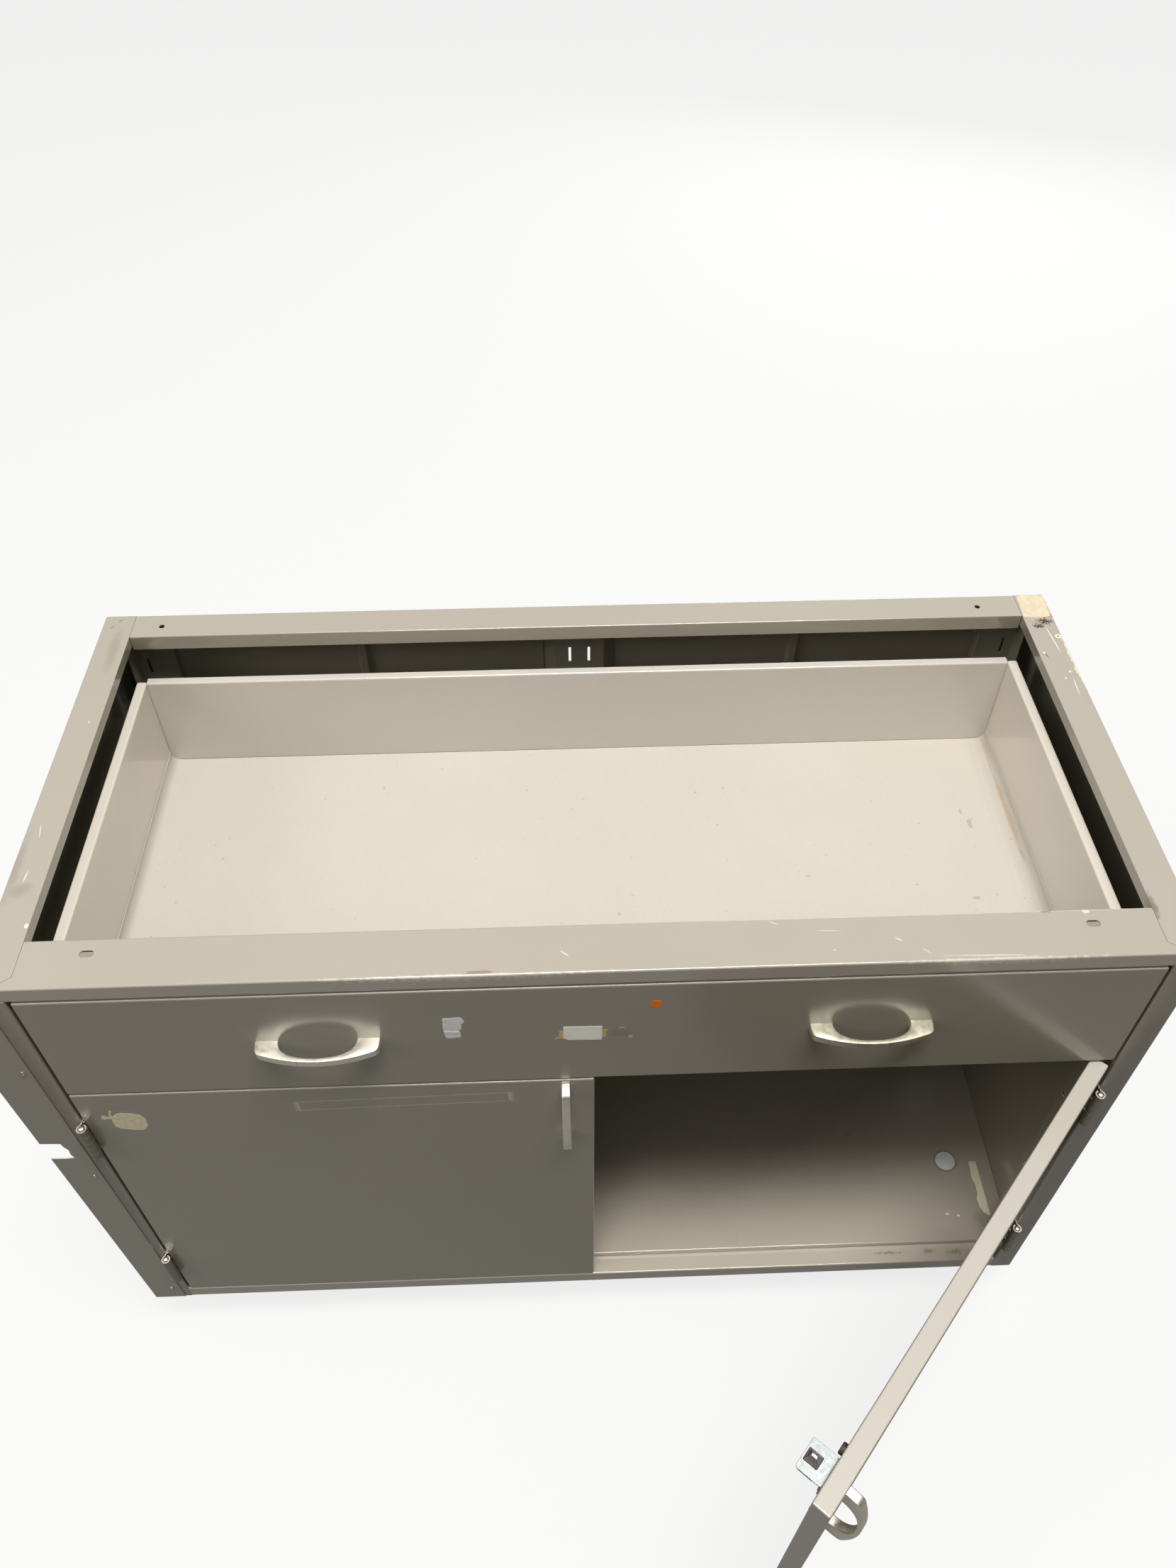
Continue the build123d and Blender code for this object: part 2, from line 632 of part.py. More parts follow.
# ---- half-depth shelf on three hook-in brackets ----
Z_HOOK = min(post_slots(), key=lambda z: abs(z + SHELF_RISE - Z_FLOOR - SHELF_UP))
Z_SHELF = Z_HOOK + SHELF_RISE
with BuildPart() as shelf:
    x = X_STILE - SHELF_PLAY
    y0, y1, z = Y_POST - 0.5 - SHELF_DEPTH, Y_POST - 0.5, Z_SHELF - SHELF_FOLD
    folded_bar(
        section_x(-x),
        [(y1, z), (y1, Z_SHELF), (y0, Z_SHELF), (y0, z), (y0 + SHELF_HEM, z)],
        2 * x,
    )
keep(shelf.part, "shelf")

with BuildPart() as shelf_brackets:
    top = Z_SHELF - SHELF_FOLD - FIT
    nose = Y_POST - 0.5 - SHELF_DEPTH + BRACKET_SHORT
    for x, face in ((-X_SLOT, Y_POST), (CENTRE_SLOT_X, Y_CENTRE), (X_SLOT, Y_POST)):
        with BuildSketch(section_x(x - BRACKET_THICK / 2)) as profile:
            Polygon(
                (face - FIT, top), (nose, top), (nose, top - BRACKET_NOSE),
                (face - FIT, Z_HOOK - BRACKET_FOOT), align=None,
            )
            with Locations((face + HOOK[0] / 2 - FIT, Z_HOOK)):
                Rectangle(*HOOK)
        extrude(amount=BRACKET_THICK)
keep(shelf_brackets.part, "shelf_brackets")


# ---- drawer runners: a channel on the cabinet, a flange on the drawer, four rollers ----
def runner(s):
    front = FRONT_Y[1] + RUNNER_END
    with BuildPart() as channel:
        folded_bar(
            section_y(Y_POST),
            either(s, [
                (X_RUNNER, RUNNER_Z[0]), (X_STILE, RUNNER_Z[0]),
                (X_STILE, RUNNER_Z[1]), (X_RUNNER, RUNNER_Z[1]),
            ]),
            Y_POST - front,
        )
        slab((s * (X_RUNNER - RUNNER_TAB), s * (X_STILE - 1)), (Y_POST - 1.5, Y_POST), RUNNER_Z)
    return channel.part


def roller(s, spot, radius, x_inner):
    y, z = spot
    with BuildPart() as wheel:
        with BuildSketch(section_x(min(s * x_inner, s * (x_inner + ROLLER_WIDTH)))):
            with Locations((y, z)):
                Circle(radius)
                Circle(AXLE_R + 0.05, mode=Mode.SUBTRACT)
        extrude(amount=ROLLER_WIDTH)
        rims = wheel.edges().filter_by(GeomType.CIRCLE).sort_by(SortBy.RADIUS)[-2:]
        fillet(rims, radius=0.9)
        # moulded web: a shallow recess on both faces
        for x0, x1 in ((x_inner - 1, x_inner + 1.2), (x_inner + ROLLER_WIDTH - 1.2, x_inner + ROLLER_WIDTH + 1)):
            with BuildSketch(section_x(min(s * x0, s * x1))):
                with Locations((y, z)):
                    Circle(radius - 2.2)
                    Circle(AXLE_R + 1.6, mode=Mode.SUBTRACT)
            extrude(amount=abs(x1 - x0), mode=Mode.SUBTRACT)
    return wheel.part


keep(runner(-1), "runner_left")
keep(runner(1), "runner_right")

with BuildPart() as front_axles:
    y, z = FRONT_ROLLER
    x = FRONT_ROLLER_X - 0.4
    for s in (-1, 1):
        rod(AXLE_R, (s * (x - 0.8), y, z), (s * X_WEB, y, z))
        rod(AXLE_HEAD_R, (s * (x - 0.8), y, z), (s * x, y, z))
keep(front_axles.part, "front_roller_axles")

with BuildPart() as rear_axles:
    y, z = REAR_ROLLER
    x = REAR_ROLLER_X + ROLLER_WIDTH + 0.5
    for s in (-1, 1):
        rod(AXLE_R, (s * (BOX_HALF + GAUGE), y, z), (s * (x + 0.8), y, z))
        rod(AXLE_HEAD_R, (s * x, y, z), (s * (x + 0.8), y, z))
keep(rear_axles.part, "rear_roller_axles")

for s, side in ((-1, "left"), (1, "right")):
    keep(roller(s, FRONT_ROLLER, ROLLER_R, FRONT_ROLLER_X), "front_roller_" + side)
    keep(roller(s, REAR_ROLLER, REAR_ROLLER_R, REAR_ROLLER_X), "rear_roller_" + side)


def drawer_rail(s):
    with BuildPart() as rail:
        folded_bar(
            section_y(RAIL_END),
            either(s, [
                (X_WEB - 1.2, Z_RAIL_TOP), (BOX_HALF, Z_RAIL_TOP), (BOX_HALF, RUNNER_Z[0] + 3),
            ]),
            RAIL_END - FRONT_Y[1],
        )
    return rail.part


keep(drawer_rail(-1), "drawer_rail_left")
keep(drawer_rail(1), "drawer_rail_right")


# ---- drawer box: double walls folded over at the top, coved bottom ----
def drawer_side(s):
    rear = BOX_REAR - BACK_TAIL
    with BuildPart() as wall:
        folded_bar(
            section_y(rear),
            either(s, [
                (BOX_HALF, BOX_FLOOR - 2), (BOX_HALF, BOX_TOP),
                (BOX_IN, BOX_TOP), (BOX_IN, BOX_FLOOR + 1.5),
            ]),
            rear - FRONT_Y[1], gauge=BOX_GAUGE, bend=BOX_BEND,
        )
    return wall.part


keep(drawer_side(-1), "drawer_side_left")
keep(drawer_side(1), "drawer_side_right")

with BuildPart() as drawer_back:
    x = BOX_IN - BODY_FIT
    y = BOX_REAR - BOX_BACK_WALL
    folded_bar(
        section_x(-x),
        [(BOX_REAR, BOX_FLOOR - 2), (BOX_REAR, BOX_TOP), (y, BOX_TOP), (y, BOX_FLOOR + 0.3)],
        2 * x, gauge=BOX_GAUGE, bend=BOX_BEND,
    )
keep(drawer_back.part, "drawer_back")

with BuildPart() as drawer_bottom:
    x = BOX_IN - FIT
    y = BOX_REAR - BOX_BACK_WALL - 0.3
    low, high = BOX_FLOOR - BOX_GAUGE, BOX_FLOOR + BOX_UP
    folded_bar(
        section_y(y), [(-x, high), (-x, low), (x, low), (x, high)],
        y - FRONT_Y[1] - FIT, gauge=BOX_GAUGE, bend=BOX_COVE,
    )
    # the flat sheet, and a coved strip along each side
    for side in (-1, 1):
        split(bisect_by=Plane(origin=(side * (x - BOX_COVE), 0, 0), z_dir=(1, 0, 0)), keep=Keep.BOTH)
keep(drawer_bottom.part, "drawer_bottom")


# ---- hollow fronts: an outer pan and the liner that closes it ----
def pan(frame, x, y, z, skin_side, holes):
    """Five-sided pan with a turned-in rim; skin_side is -1 or 1 along the frame's y."""
    rim = PAN_RIM
    with BuildPart() as shell:
        slab(x, y, z, frame=frame)
        fillet(shell.edges(), radius=BEND)
        low = (min(x) + GAUGE, max(x) - GAUGE)
        thick = (min(y) + GAUGE, max(y) - GAUGE)
        slab(low, thick, (z[0] + GAUGE, z[1] - GAUGE), Mode.SUBTRACT, frame)
        open_y = (max(y) - 2, max(y) + 2) if skin_side < 0 else (min(y) - 2, min(y) + 2)
        slab((min(x) + rim, max(x) - rim), open_y, (z[0] + rim, z[1] - rim), Mode.SUBTRACT, frame)
        for hx, hz in holes:
            rod(SCREW_R + SCREW_PLAY, (hx, min(y) - 3, hz), (hx, max(y) + 3, hz), Mode.SUBTRACT, frame)
    return shell.part


def liner(frame, x, y, z, skin_side, holes):
    """Flat plate that fills the pan's open side, set a little below the rim."""
    rim = PAN_RIM + RIM_PLAY
    face = max(y) - RIM_PLAY if skin_side < 0 else min(y) + RIM_PLAY
    depth = (face - 1.0, face) if skin_side < 0 else (face, face + 1.0)
    with BuildPart() as plate:
        slab((min(x) + rim, max(x) - rim), depth, (z[0] + rim, z[1] - rim), frame=frame)
        for hx, hz in holes:
            rod(SCREW_R + SCREW_PLAY, (hx, min(y) - 3, hz), (hx, max(y) + 3, hz), Mode.SUBTRACT, frame)
    return plate.part


def pull(frame, along, reach, across):
    """Arched pull. along, reach and across are (centre, direction) in the frame."""
    a0, a = along
    r0, r = reach
    c0, c = across
    origin = frame.from_local_coords(Vector(*a0) + Vector(*r0) + Vector(*c0))
    x_dir = frame.location * Location(Vector(*a))
    x_vec = x_dir.position - frame.origin
    z_dir = frame.location * Location(Vector(*c))
    z_vec = z_dir.position - frame.origin
    plane = Plane(origin=origin - z_vec * (PULL_WIDTH / 2), x_dir=x_vec, z_dir=z_vec)
    y_sign = 1 if (plane.y_dir - (frame.location * Location(Vector(*r))).position + frame.origin).length < 1 else -1
    half = PULL_LENGTH / 2
    with BuildPart() as grip:
        with BuildSketch(plane) as arch:
            with BuildLine():
                shoulder = (half - PULL_LEAN, y_sign * PULL_SHOULDER)
                foot_line = Line((-half, 0), (half, 0))
                Line(foot_line @ 1, shoulder)
                ThreePointArc(shoulder, (0, y_sign * PULL_REACH), (-shoulder[0], shoulder[1]))
                Line((-shoulder[0], shoulder[1]), foot_line @ 0)
            make_face()
            fillet([v for v in arch.vertices() if abs(v.Y) > PULL_SHOULDER / 2], radius=PULL_CORNER)
            Ellipse(half - PULL_FOOT, PULL_REACH - PULL_BAR, mode=Mode.SUBTRACT)
        extrude(arch.sketch, amount=PULL_WIDTH)
        rims = grip.faces().filter_by(Plane(origin=(0, 0, 0), z_dir=z_vec)).edges()
        seat = [e for e in rims if abs(plane.to_local_coords(e.center()).Y) < 0.01]
        fillet([e for e in rims if e not in seat], radius=PULL_EDGE)
        for t in (-PULL_SCREWS / 2, PULL_SCREWS / 2):
            start = plane.from_local_coords(Vector(t, -y_sign, PULL_WIDTH / 2))
            end = plane.from_local_coords(Vector(t, y_sign * (PULL_BITE + 2), PULL_WIDTH / 2))
            rod(SCREW_R + 0.1, tuple(start), tuple(end), Mode.SUBTRACT)
    return grip.part


def pull_screws(frame, heads, y_head, y_tip):
    """Pan-head screws through a front into its pull."""
    step = 1 if y_tip > y_head else -1
    with BuildPart() as screws:
        for hx, hz in heads:
            rod(SCREW_R, (hx, y_head, hz), (hx, y_tip, hz), frame=frame)
            rod(SCREW_HEAD[0], (hx, y_head - step * SCREW_HEAD[1], hz), (hx, y_head, hz), frame=frame)
    return screws.part


world = Plane.XY
drawer_holes = [
    (s * DRAWER_PULL_X + t, DRAWER_PULL_Z)
    for s in (-1, 1) for t in (-PULL_SCREWS / 2, PULL_SCREWS / 2)
]
DRAWER_X = (-DRAWER_HALF, DRAWER_HALF)
keep(pan(world, DRAWER_X, FRONT_Y, DRAWER_Z, -1, drawer_holes), "drawer_front")
keep(liner(world, DRAWER_X, FRONT_Y, DRAWER_Z, -1, drawer_holes), "drawer_front_liner")
for s, side in ((-1, "left"), (1, "right")):
    keep(
        pull(
            world, ((s * DRAWER_PULL_X, 0, 0), (1, 0, 0)),
            ((0, Y_FRONT, 0), (0, -1, 0)), ((0, 0, DRAWER_PULL_Z), (0, 0, 1)),
        ),
        "drawer_pull_" + side,
    )
keep(
    pull_screws(world, drawer_holes, FRONT_Y[1] - RIM_PLAY, Y_FRONT - PULL_BITE), "drawer_pull_screws"
)


# ---- doors ----
def knuckle_spans(z_mid, which):
    """Heights of the first, third and fifth knuckles, or of the second and fourth."""
    gap = KNUCKLE_GAP
    length = (HINGE_LENGTH - 4 * gap) / 5
    low = z_mid - HINGE_LENGTH / 2
    return [(low + i * (length + gap), low + i * (length + gap) + length) for i in which]


def hinge_leaves(frame, k, u, knuckles, reach, bore):
    """Both leaves of one door's hinges on one member; k turns w into the frame's y."""
    with BuildPart() as leaves:
        for z_mid in HINGE_Z:
            span = (z_mid - HINGE_LENGTH / 2, z_mid + HINGE_LENGTH / 2)
            slab(u, (k * (BARREL_R + 0.45), k * reach), span, frame=frame)
            for z0, z1 in knuckle_spans(z_mid, knuckles):
                rod(BARREL_R, (0, 0, z0), (0, 0, z1), frame=frame)
                slab(u, (k * (BARREL_R - 1.55), k * (BARREL_R + 0.55)), (z0, z1), frame=frame)
                rod(bore, (0, 0, z0 - 0.1), (0, 0, z1 + 0.1), Mode.SUBTRACT, frame)
    return leaves.part


def catch(frame, k):
    """Plated angle bracket with the bolt's guide box under it."""
    face, reach = DOOR_W[1], CATCH_PLATE[0]
    plate = (CATCH_TOP - CATCH_PLATE[1], CATCH_TOP)
    with BuildPart() as bracket:
        slab((CATCH_U - CATCH_HALF, CATCH_U + CATCH_HALF), (k * face, k * (face + reach)), plate, frame=frame)
        outer = bracket.edges().filter_by(Axis.Z)
        fillet(outer, radius=2.5)
        slab(
            (CATCH_U - CATCH_HALF, CATCH_U + CATCH_HALF), (k * face, k * (face + CATCH_PLATE[1])),
            (CATCH_TOP - CATCH_LEG, CATCH_TOP - 0.2), frame=frame,
        )
        half_u, half_w = BOLT_SIZE[0] / 2 + BOLT_PLAY, BOLT_SIZE[1] / 2 + BOLT_PLAY
        u0, u1, w0, w1 = CATCH_U - half_u, CATCH_U + half_u, CATCH_W - half_w, CATCH_W + half_w
        wall, low = GUIDE_WALL, CATCH_TOP - GUIDE_DROP
        slab(
            (u0 - wall, u1 + wall), (k * (w0 - wall), k * (w1 + wall)), (low, CATCH_TOP - 0.2),
            frame=frame,
        )
        slab((u0, u1), (k * w0, k * w1), (low + wall, CATCH_TOP + 1), Mode.SUBTRACT, frame)
        # clears the head of the pull's upper screw
        head = DOOR_PULL_Z + PULL_SCREWS / 2
        rod(
            SCREW_HEAD[0] + 0.8, (DOOR_PULL_U, k * (face - 1), head),
            (DOOR_PULL_U, k * (face + SCREW_HEAD[1] + 0.8), head), Mode.SUBTRACT, frame,
        )
    return bracket.part


def bolt(frame, k):
    """Latch bolt: a square bar with a hipped nose."""
    bu, bw = BOLT_SIZE
    low, high = CATCH_TOP - BOLT_TAIL, CATCH_TOP + BOLT_SHOULDER
    base = Plane(frame.location * Location((CATCH_U, k * CATCH_W, low)))
    shoulder = Plane(frame.location * Location((CATCH_U, k * CATCH_W, high)))
    crown = Plane(frame.location * Location((CATCH_U, k * CATCH_W, DOOR_Z[1])))
    with BuildPart() as bar:
        with BuildSketch(base):
            Rectangle(bu, bw)
        extrude(amount=high - low)
        with BuildSketch(shoulder):
            Rectangle(bu, bw)
        with BuildSketch(crown):
            Rectangle(bu - 5.0, 2.4)
        loft()
    return bar.part


def bumper(frame, k):
    """Rubber dome on the door's inner face, just short of the mid rail."""
    u, face, z = DOOR_U[1] - BUMPER_EDGE, DOOR_W[1], DOOR_Z[1] - BUMPER_DROP
    with BuildPart() as pad:
        rod(BUMPER_R, (u, k * face, z), (u, k * (face + BUMPER_THICK), z), frame=frame)
        tip = pad.edges().filter_by(GeomType.CIRCLE)
        fillet(tip, radius=0.9)
    return pad.part


def door(s, side, opened):
    """Every piece that swings with one door."""
    k = -s
    turn = math.radians(opened)
    along = (-math.cos(turn), -math.sin(turn), 0) if s > 0 else (math.cos(turn), -math.sin(turn), 0)
    frame = Plane(origin=(s * PIN_X, PIN_Y, 0), x_dir=along, z_dir=(0, 0, 1))
    holes = [(DOOR_PULL_U, DOOR_PULL_Z + t) for t in (-PULL_SCREWS / 2, PULL_SCREWS / 2)]
    y = (k * DOOR_W[0], k * DOOR_W[1])
    leaf = (LEAF_GAP / 2, LEAF_GAP / 2 + LEAF)
    keep(pan(frame, DOOR_U, y, DOOR_Z, -k, holes), f"door_{side}")
    keep(liner(frame, DOOR_U, y, DOOR_Z, -k, holes), f"door_{side}_liner")
    keep(
        hinge_leaves(frame, k, leaf, (1, 3), DOOR_W[1] - 1.0, PIN_R + 0.06),
        f"door_{side}_hinge_leaves",
    )
    keep(
        pull(
            frame, ((DOOR_PULL_U, 0, 0), (0, 0, 1)),
            ((0, k * DOOR_W[0], 0), (0, -k, 0)), ((0, 0, DOOR_PULL_Z), (1, 0, 0)),
        ),
        f"door_{side}_pull",
    )
    keep(
        pull_screws(frame, holes, k * (DOOR_W[1] - RIM_PLAY), k * (DOOR_W[0] - PULL_BITE)),
        f"door_{side}_pull_screws",
    )
    keep(catch(frame, k), f"door_{side}_catch")
    keep(bolt(frame, k), f"door_{side}_bolt")
    keep(bumper(frame, k), f"door_{side}_bumper")


door(-1, "left", 0.0)
door(1, "right", DOOR_OPEN)

# ---- hinge halves and pins that stay on the cabinet ----
for s, side in ((-1, "left"), (1, "right")):
    closed = Plane(origin=(s * PIN_X, PIN_Y, 0), x_dir=(-s, 0, 0), z_dir=(0, 0, 1))
    leaf = (-LEAF_GAP / 2 - LEAF, -LEAF_GAP / 2)
    reach = PIN_OUT + STILE_RETURN - STILE_LEAF_IN
    keep(
        hinge_leaves(closed, -s, leaf, (0, 2, 4), reach, PIN_R + 0.02),
        f"stile_{side}_hinge_leaves",
    )

with BuildPart() as hinge_pins:
    half = HINGE_LENGTH / 2
    for s in (-1, 1):
        for z in HINGE_Z:
            rod(PIN_R, (s * PIN_X, PIN_Y, z - half - 1), (s * PIN_X, PIN_Y, z + half + 1))
            for end in (-1, 1):
                rod(
                    PIN_CAP[0], (s * PIN_X, PIN_Y, z + end * half),
                    (s * PIN_X, PIN_Y, z + end * (half + PIN_CAP[1])),
                )
    tips = hinge_pins.edges().filter_by(GeomType.CIRCLE).filter_by(lambda e: e.radius > PIN_CAP[0] - 0.3)
    tip = half + PIN_CAP[1]
    outer_tips = [e for e in tips if min(abs(abs(e.center().Z - z) - tip) for z in HINGE_Z) < 0.01]
    fillet(outer_tips, radius=1.6)
keep(hinge_pins.part, "hinge_pins")

# ---- fastenings on the stiles, and the filler strip on the left one ----
STILE_SCREW_DROPS = (355.0, 538.0)      # under the seat
STILE_SCREW_RISE = 10.0                 # the lowest one over the cupboard floor
STILE_SCREW = (3.2, 1.7)
STILE_SCREW_IN = 5.2                    # in from the end of the stile's return
with BuildPart() as stile_screws:
    y = Y_FRONT + STILE_RETURN - STILE_SCREW_IN
    radius, height = STILE_SCREW
    for s in (-1, 1):
        for z in (*[HEIGHT - drop for drop in STILE_SCREW_DROPS], Z_FLOOR + STILE_SCREW_RISE):
            rod(radius, (s * (X_STILE - height), y, z), (s * X_STILE, y, z))
    domes = [e for e in stile_screws.edges() if abs(abs(e.center().X) - (X_STILE - height)) < 0.01]
    fillet(domes, radius=1.2)
keep(stile_screws.part, "stile_screws")

FILLER_HEAD = 5.0       # strip short of the seat
FILLER_FOOT = 1.0       # and of the bottom rail's underside
FILLER_LAP = (8.2, 19.5)                # on the stile, at head and foot
FILLER_OUT = (38.0, 21.5)               # beyond the side, at head and foot
# the torn notch: beyond the side sheet, and under the seat
FILLER_NOTCH = (
    (31.6, 305.0), (9.0, 306.5), (7.6, 315.0), (4.5, 322.0), (5.6, 333.0),
    (3.0, 341.5), (15.0, 343.0), (30.6, 342.2),
)
with BuildPart() as filler_strip:
    head, foot = HEIGHT - FILLER_HEAD, TOE_HEIGHT + FILLER_FOOT
    with BuildSketch(section_y(Y_FRONT)):
        Polygon(
            (FILLER_LAP[1] - X_OUT, foot), (FILLER_LAP[0] - X_OUT, head), (-X_OUT - FILLER_OUT[0], head),
            *[(-X_OUT - out, HEIGHT - drop) for out, drop in FILLER_NOTCH],
            (-X_OUT - FILLER_OUT[1], foot), align=None,
        )
    extrude(amount=GAUGE)
keep(filler_strip.part, "filler_strip")

FILLER_SCREW_INSETS = (4.7, 1.8, 7.4)   # in from the side sheet
FILLER_SCREW_DROPS = (390.0, 151.0)     # under the seat
FILLER_SCREW_RISE = 31.0                # the lowest one over the bottom rail's underside
FILLER_SCREW = (3.2, 1.5)
with BuildPart() as filler_screws:
    face = Y_FRONT - GAUGE
    radius, height = FILLER_SCREW
    heights = (*[HEIGHT - drop for drop in FILLER_SCREW_DROPS], TOE_HEIGHT + FILLER_SCREW_RISE)
    for inset, z in zip(FILLER_SCREW_INSETS, heights):
        rod(radius, (inset - X_OUT, face - height, z), (inset - X_OUT, face, z))
    domes = [e for e in filler_screws.edges() if e.center().Y < face - height + 0.1]
    fillet(domes, radius=1.1)
keep(filler_screws.part, "filler_screws")

for label, part in parts.items():
    export_step(part, f"parts/{label}.step")
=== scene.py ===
"""Painted steel base cabinet, worktop off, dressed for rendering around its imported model.

The sections follow the cabinet as it is put together: camera and light, painted sheet metal,
drawer, doors, then hardware and what years of use have left on it.
"""
import json
import math

import bmesh
import bpy
import numpy as np
from mathutils import Matrix, Vector


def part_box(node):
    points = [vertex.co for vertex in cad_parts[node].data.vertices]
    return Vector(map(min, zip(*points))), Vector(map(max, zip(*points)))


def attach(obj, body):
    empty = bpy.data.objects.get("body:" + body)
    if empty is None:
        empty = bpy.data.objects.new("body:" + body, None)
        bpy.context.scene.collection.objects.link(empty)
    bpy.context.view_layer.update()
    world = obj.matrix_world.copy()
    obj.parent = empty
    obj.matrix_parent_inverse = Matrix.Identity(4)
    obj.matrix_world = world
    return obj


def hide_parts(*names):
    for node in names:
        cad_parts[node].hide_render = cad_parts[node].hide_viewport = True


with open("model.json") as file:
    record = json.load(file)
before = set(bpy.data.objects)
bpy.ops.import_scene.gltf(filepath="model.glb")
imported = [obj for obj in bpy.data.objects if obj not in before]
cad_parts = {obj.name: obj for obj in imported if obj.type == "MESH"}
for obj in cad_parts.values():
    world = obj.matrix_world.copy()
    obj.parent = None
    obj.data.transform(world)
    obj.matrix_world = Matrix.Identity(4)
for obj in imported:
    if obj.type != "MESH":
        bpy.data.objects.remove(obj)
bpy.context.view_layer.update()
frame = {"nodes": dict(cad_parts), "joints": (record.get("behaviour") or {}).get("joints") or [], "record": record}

# ---- camera ----------------------------------------------------------------------------------
# Standing close in front of the drawer and looking steeply down into it.
EYE = Vector((-0.0303, -0.9372, 1.8362))
RIGHT = Vector((0.99935007, -0.03601301, -0.00158323)).normalized()
AHEAD = Vector((0.02347704, 0.68355276, -0.72952344)).normalized()
camera_data = bpy.data.cameras.new("camera")
camera_data.sensor_width = 36.0
camera_data.lens = 27.66
camera_data.clip_start = 0.02
camera = bpy.data.objects.new("camera", camera_data)
bpy.context.scene.collection.objects.link(camera)
turn = Matrix((RIGHT, RIGHT.cross(AHEAD), -AHEAD)).transposed().to_4x4()
camera.matrix_world = Matrix.Translation(EYE) @ turn
bpy.context.scene.camera = camera
bpy.context.scene.view_settings.view_transform = "Standard"

# ---- room: soft ceiling light, dim walls, pale floor --------------------------------------------
# A wide ceiling panel does most of the work, as in a store room, so seats and trays are bright and
# upright faces stay quiet. A smaller one to the left and a dim one behind, walls and floor fill in.
def node_hand(tree):
    """Function that adds a node to a tree, sets or links its inputs, and gives one of its outputs."""
    def add(kind, sockets=(), output=0, **settings):
        node = tree.nodes.new("ShaderNode" + kind)
        for key, value in settings.items():
            setattr(node, key, value)
        for key, value in dict(sockets).items():
            if isinstance(value, bpy.types.NodeSocket):
                tree.links.new(value, node.inputs[key])
            else:
                node.inputs[key].default_value = value
        return node.outputs[output]
    return add


def in_sight(add, mirrored):
    """1 for rays seen directly or through glass, mirrored for reflections, 0 for light itself."""
    rays = [add("LightPath", output=f"Is {kind} Ray") for kind in ("Camera", "Transmission", "Glossy")]
    direct = add("Math", {0: rays[0], 1: rays[1]}, operation="MAXIMUM")
    return add("Math", {0: rays[2], 1: mirrored, 2: direct}, operation="MULTIPLY_ADD")


WHITE = (1.0, 1.0, 1.0, 1.0)
WALL_DIM, CEILING_DIM, WALLS_MIRRORED = 0.022, 0.55, 0.06
world = bpy.data.worlds.new("room")
bpy.context.scene.world = world
world.use_nodes = True
tree = world.node_tree
tree.nodes.clear()
add = node_hand(tree)
upward = add("SeparateXYZ", {0: add("TexCoord", output="Generated")}, "Z")
height = add(
    "MapRange",
    {"Value": upward, "From Min": 0.15, "From Max": 0.95, "To Min": WALL_DIM, "To Max": CEILING_DIM},
    interpolation_type="SMOOTHSTEP",
)
glow = add("Background", {"Color": (1.0, 0.985, 0.95, 1.0), "Strength": height})
white = add("Background", {"Color": WHITE, "Strength": 1.0})
choose = add("MixShader", {0: in_sight(add, WALLS_MIRRORED), 1: glow, 2: white})
tree.links.new(choose, tree.nodes.new("ShaderNodeOutputWorld").inputs["Surface"])


def lamp(name, place, target, size, watts, colour=(1.0, 0.98, 0.94)):
    """Rectangular soft light at a place, facing a target."""
    data = bpy.data.lights.new(name, "AREA")
    data.shape = "RECTANGLE"
    data.size, data.size_y = size
    data.energy = watts
    data.color = colour
    light = bpy.data.objects.new(name, data)
    bpy.context.scene.collection.objects.link(light)
    aim = (Vector(target) - Vector(place)).to_track_quat("-Z", "Y")
    light.matrix_world = Matrix.Translation(place) @ aim.to_matrix().to_4x4()
    return light


lamp("ceiling panel", (0.35, -1.35, 6.5), (0.05, -0.25, 0.5), (3.0, 1.2), 345.0)
lamp("next panel to the left", (-3.3, -1.25, 2.9), (0.1, -0.25, 0.6), (1.8, 1.8), 42.0)
lamp("dim panel behind", (1.6, 4.2, 1.7), (0.0, 0.2, 0.45), (2.0, 1.6), 55.0)

floor_mesh = bpy.data.meshes.new("floor")
floor_mesh.from_pydata([(-9, -9, 0), (9, -9, 0), (9, 9, 0), (-9, 9, 0)], [], [(0, 1, 2, 3)])
floor = bpy.data.objects.new("floor", floor_mesh)
bpy.context.scene.collection.objects.link(floor)
# The floor's glow stops under the closed base, so that no gap in the back shows it.
FLOOR_GREY, FLOOR_GLOW, FLOOR_MIRRORED = (0.13, 0.13, 0.128, 1.0), 0.80, 0.12
base_low, base_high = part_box("toe_base")
base_middle = [(base_low[k] + base_high[k]) / 2 for k in (0, 1)]
base_half = [(base_high[k] - base_low[k]) / 2 for k in (0, 1)]
floor_paint = bpy.data.materials.new("pale floor")
floor_paint.use_nodes = True
tree = floor_paint.node_tree
tree.nodes.clear()
add = node_hand(tree)
under = add(
    "Mapping",
    {"Vector": add("TexCoord", output="Object"), "Location": (*base_middle, 0.0), "Scale": (*base_half, 1.0)},
    vector_type="TEXTURE",
)
under = add("VectorMath", {0: under}, operation="ABSOLUTE")
across, back = (add("SeparateXYZ", {0: under}, axis) for axis in "XY")
reach = add("Math", {0: across, 1: back}, operation="MAXIMUM")
outside = add("Math", {0: reach, 1: 1.0}, operation="GREATER_THAN")
strength = add("Math", {0: outside, 1: FLOOR_GLOW}, operation="MULTIPLY")
lift = add("Emission", {"Color": WHITE, "Strength": strength})
none = add("Emission", {"Strength": 0.0})
pick = add("MixShader", {0: in_sight(add, FLOOR_MIRRORED), 1: none, 2: lift})
both = add("AddShader", {0: add("BsdfDiffuse", {"Color": FLOOR_GREY}), 1: pick})
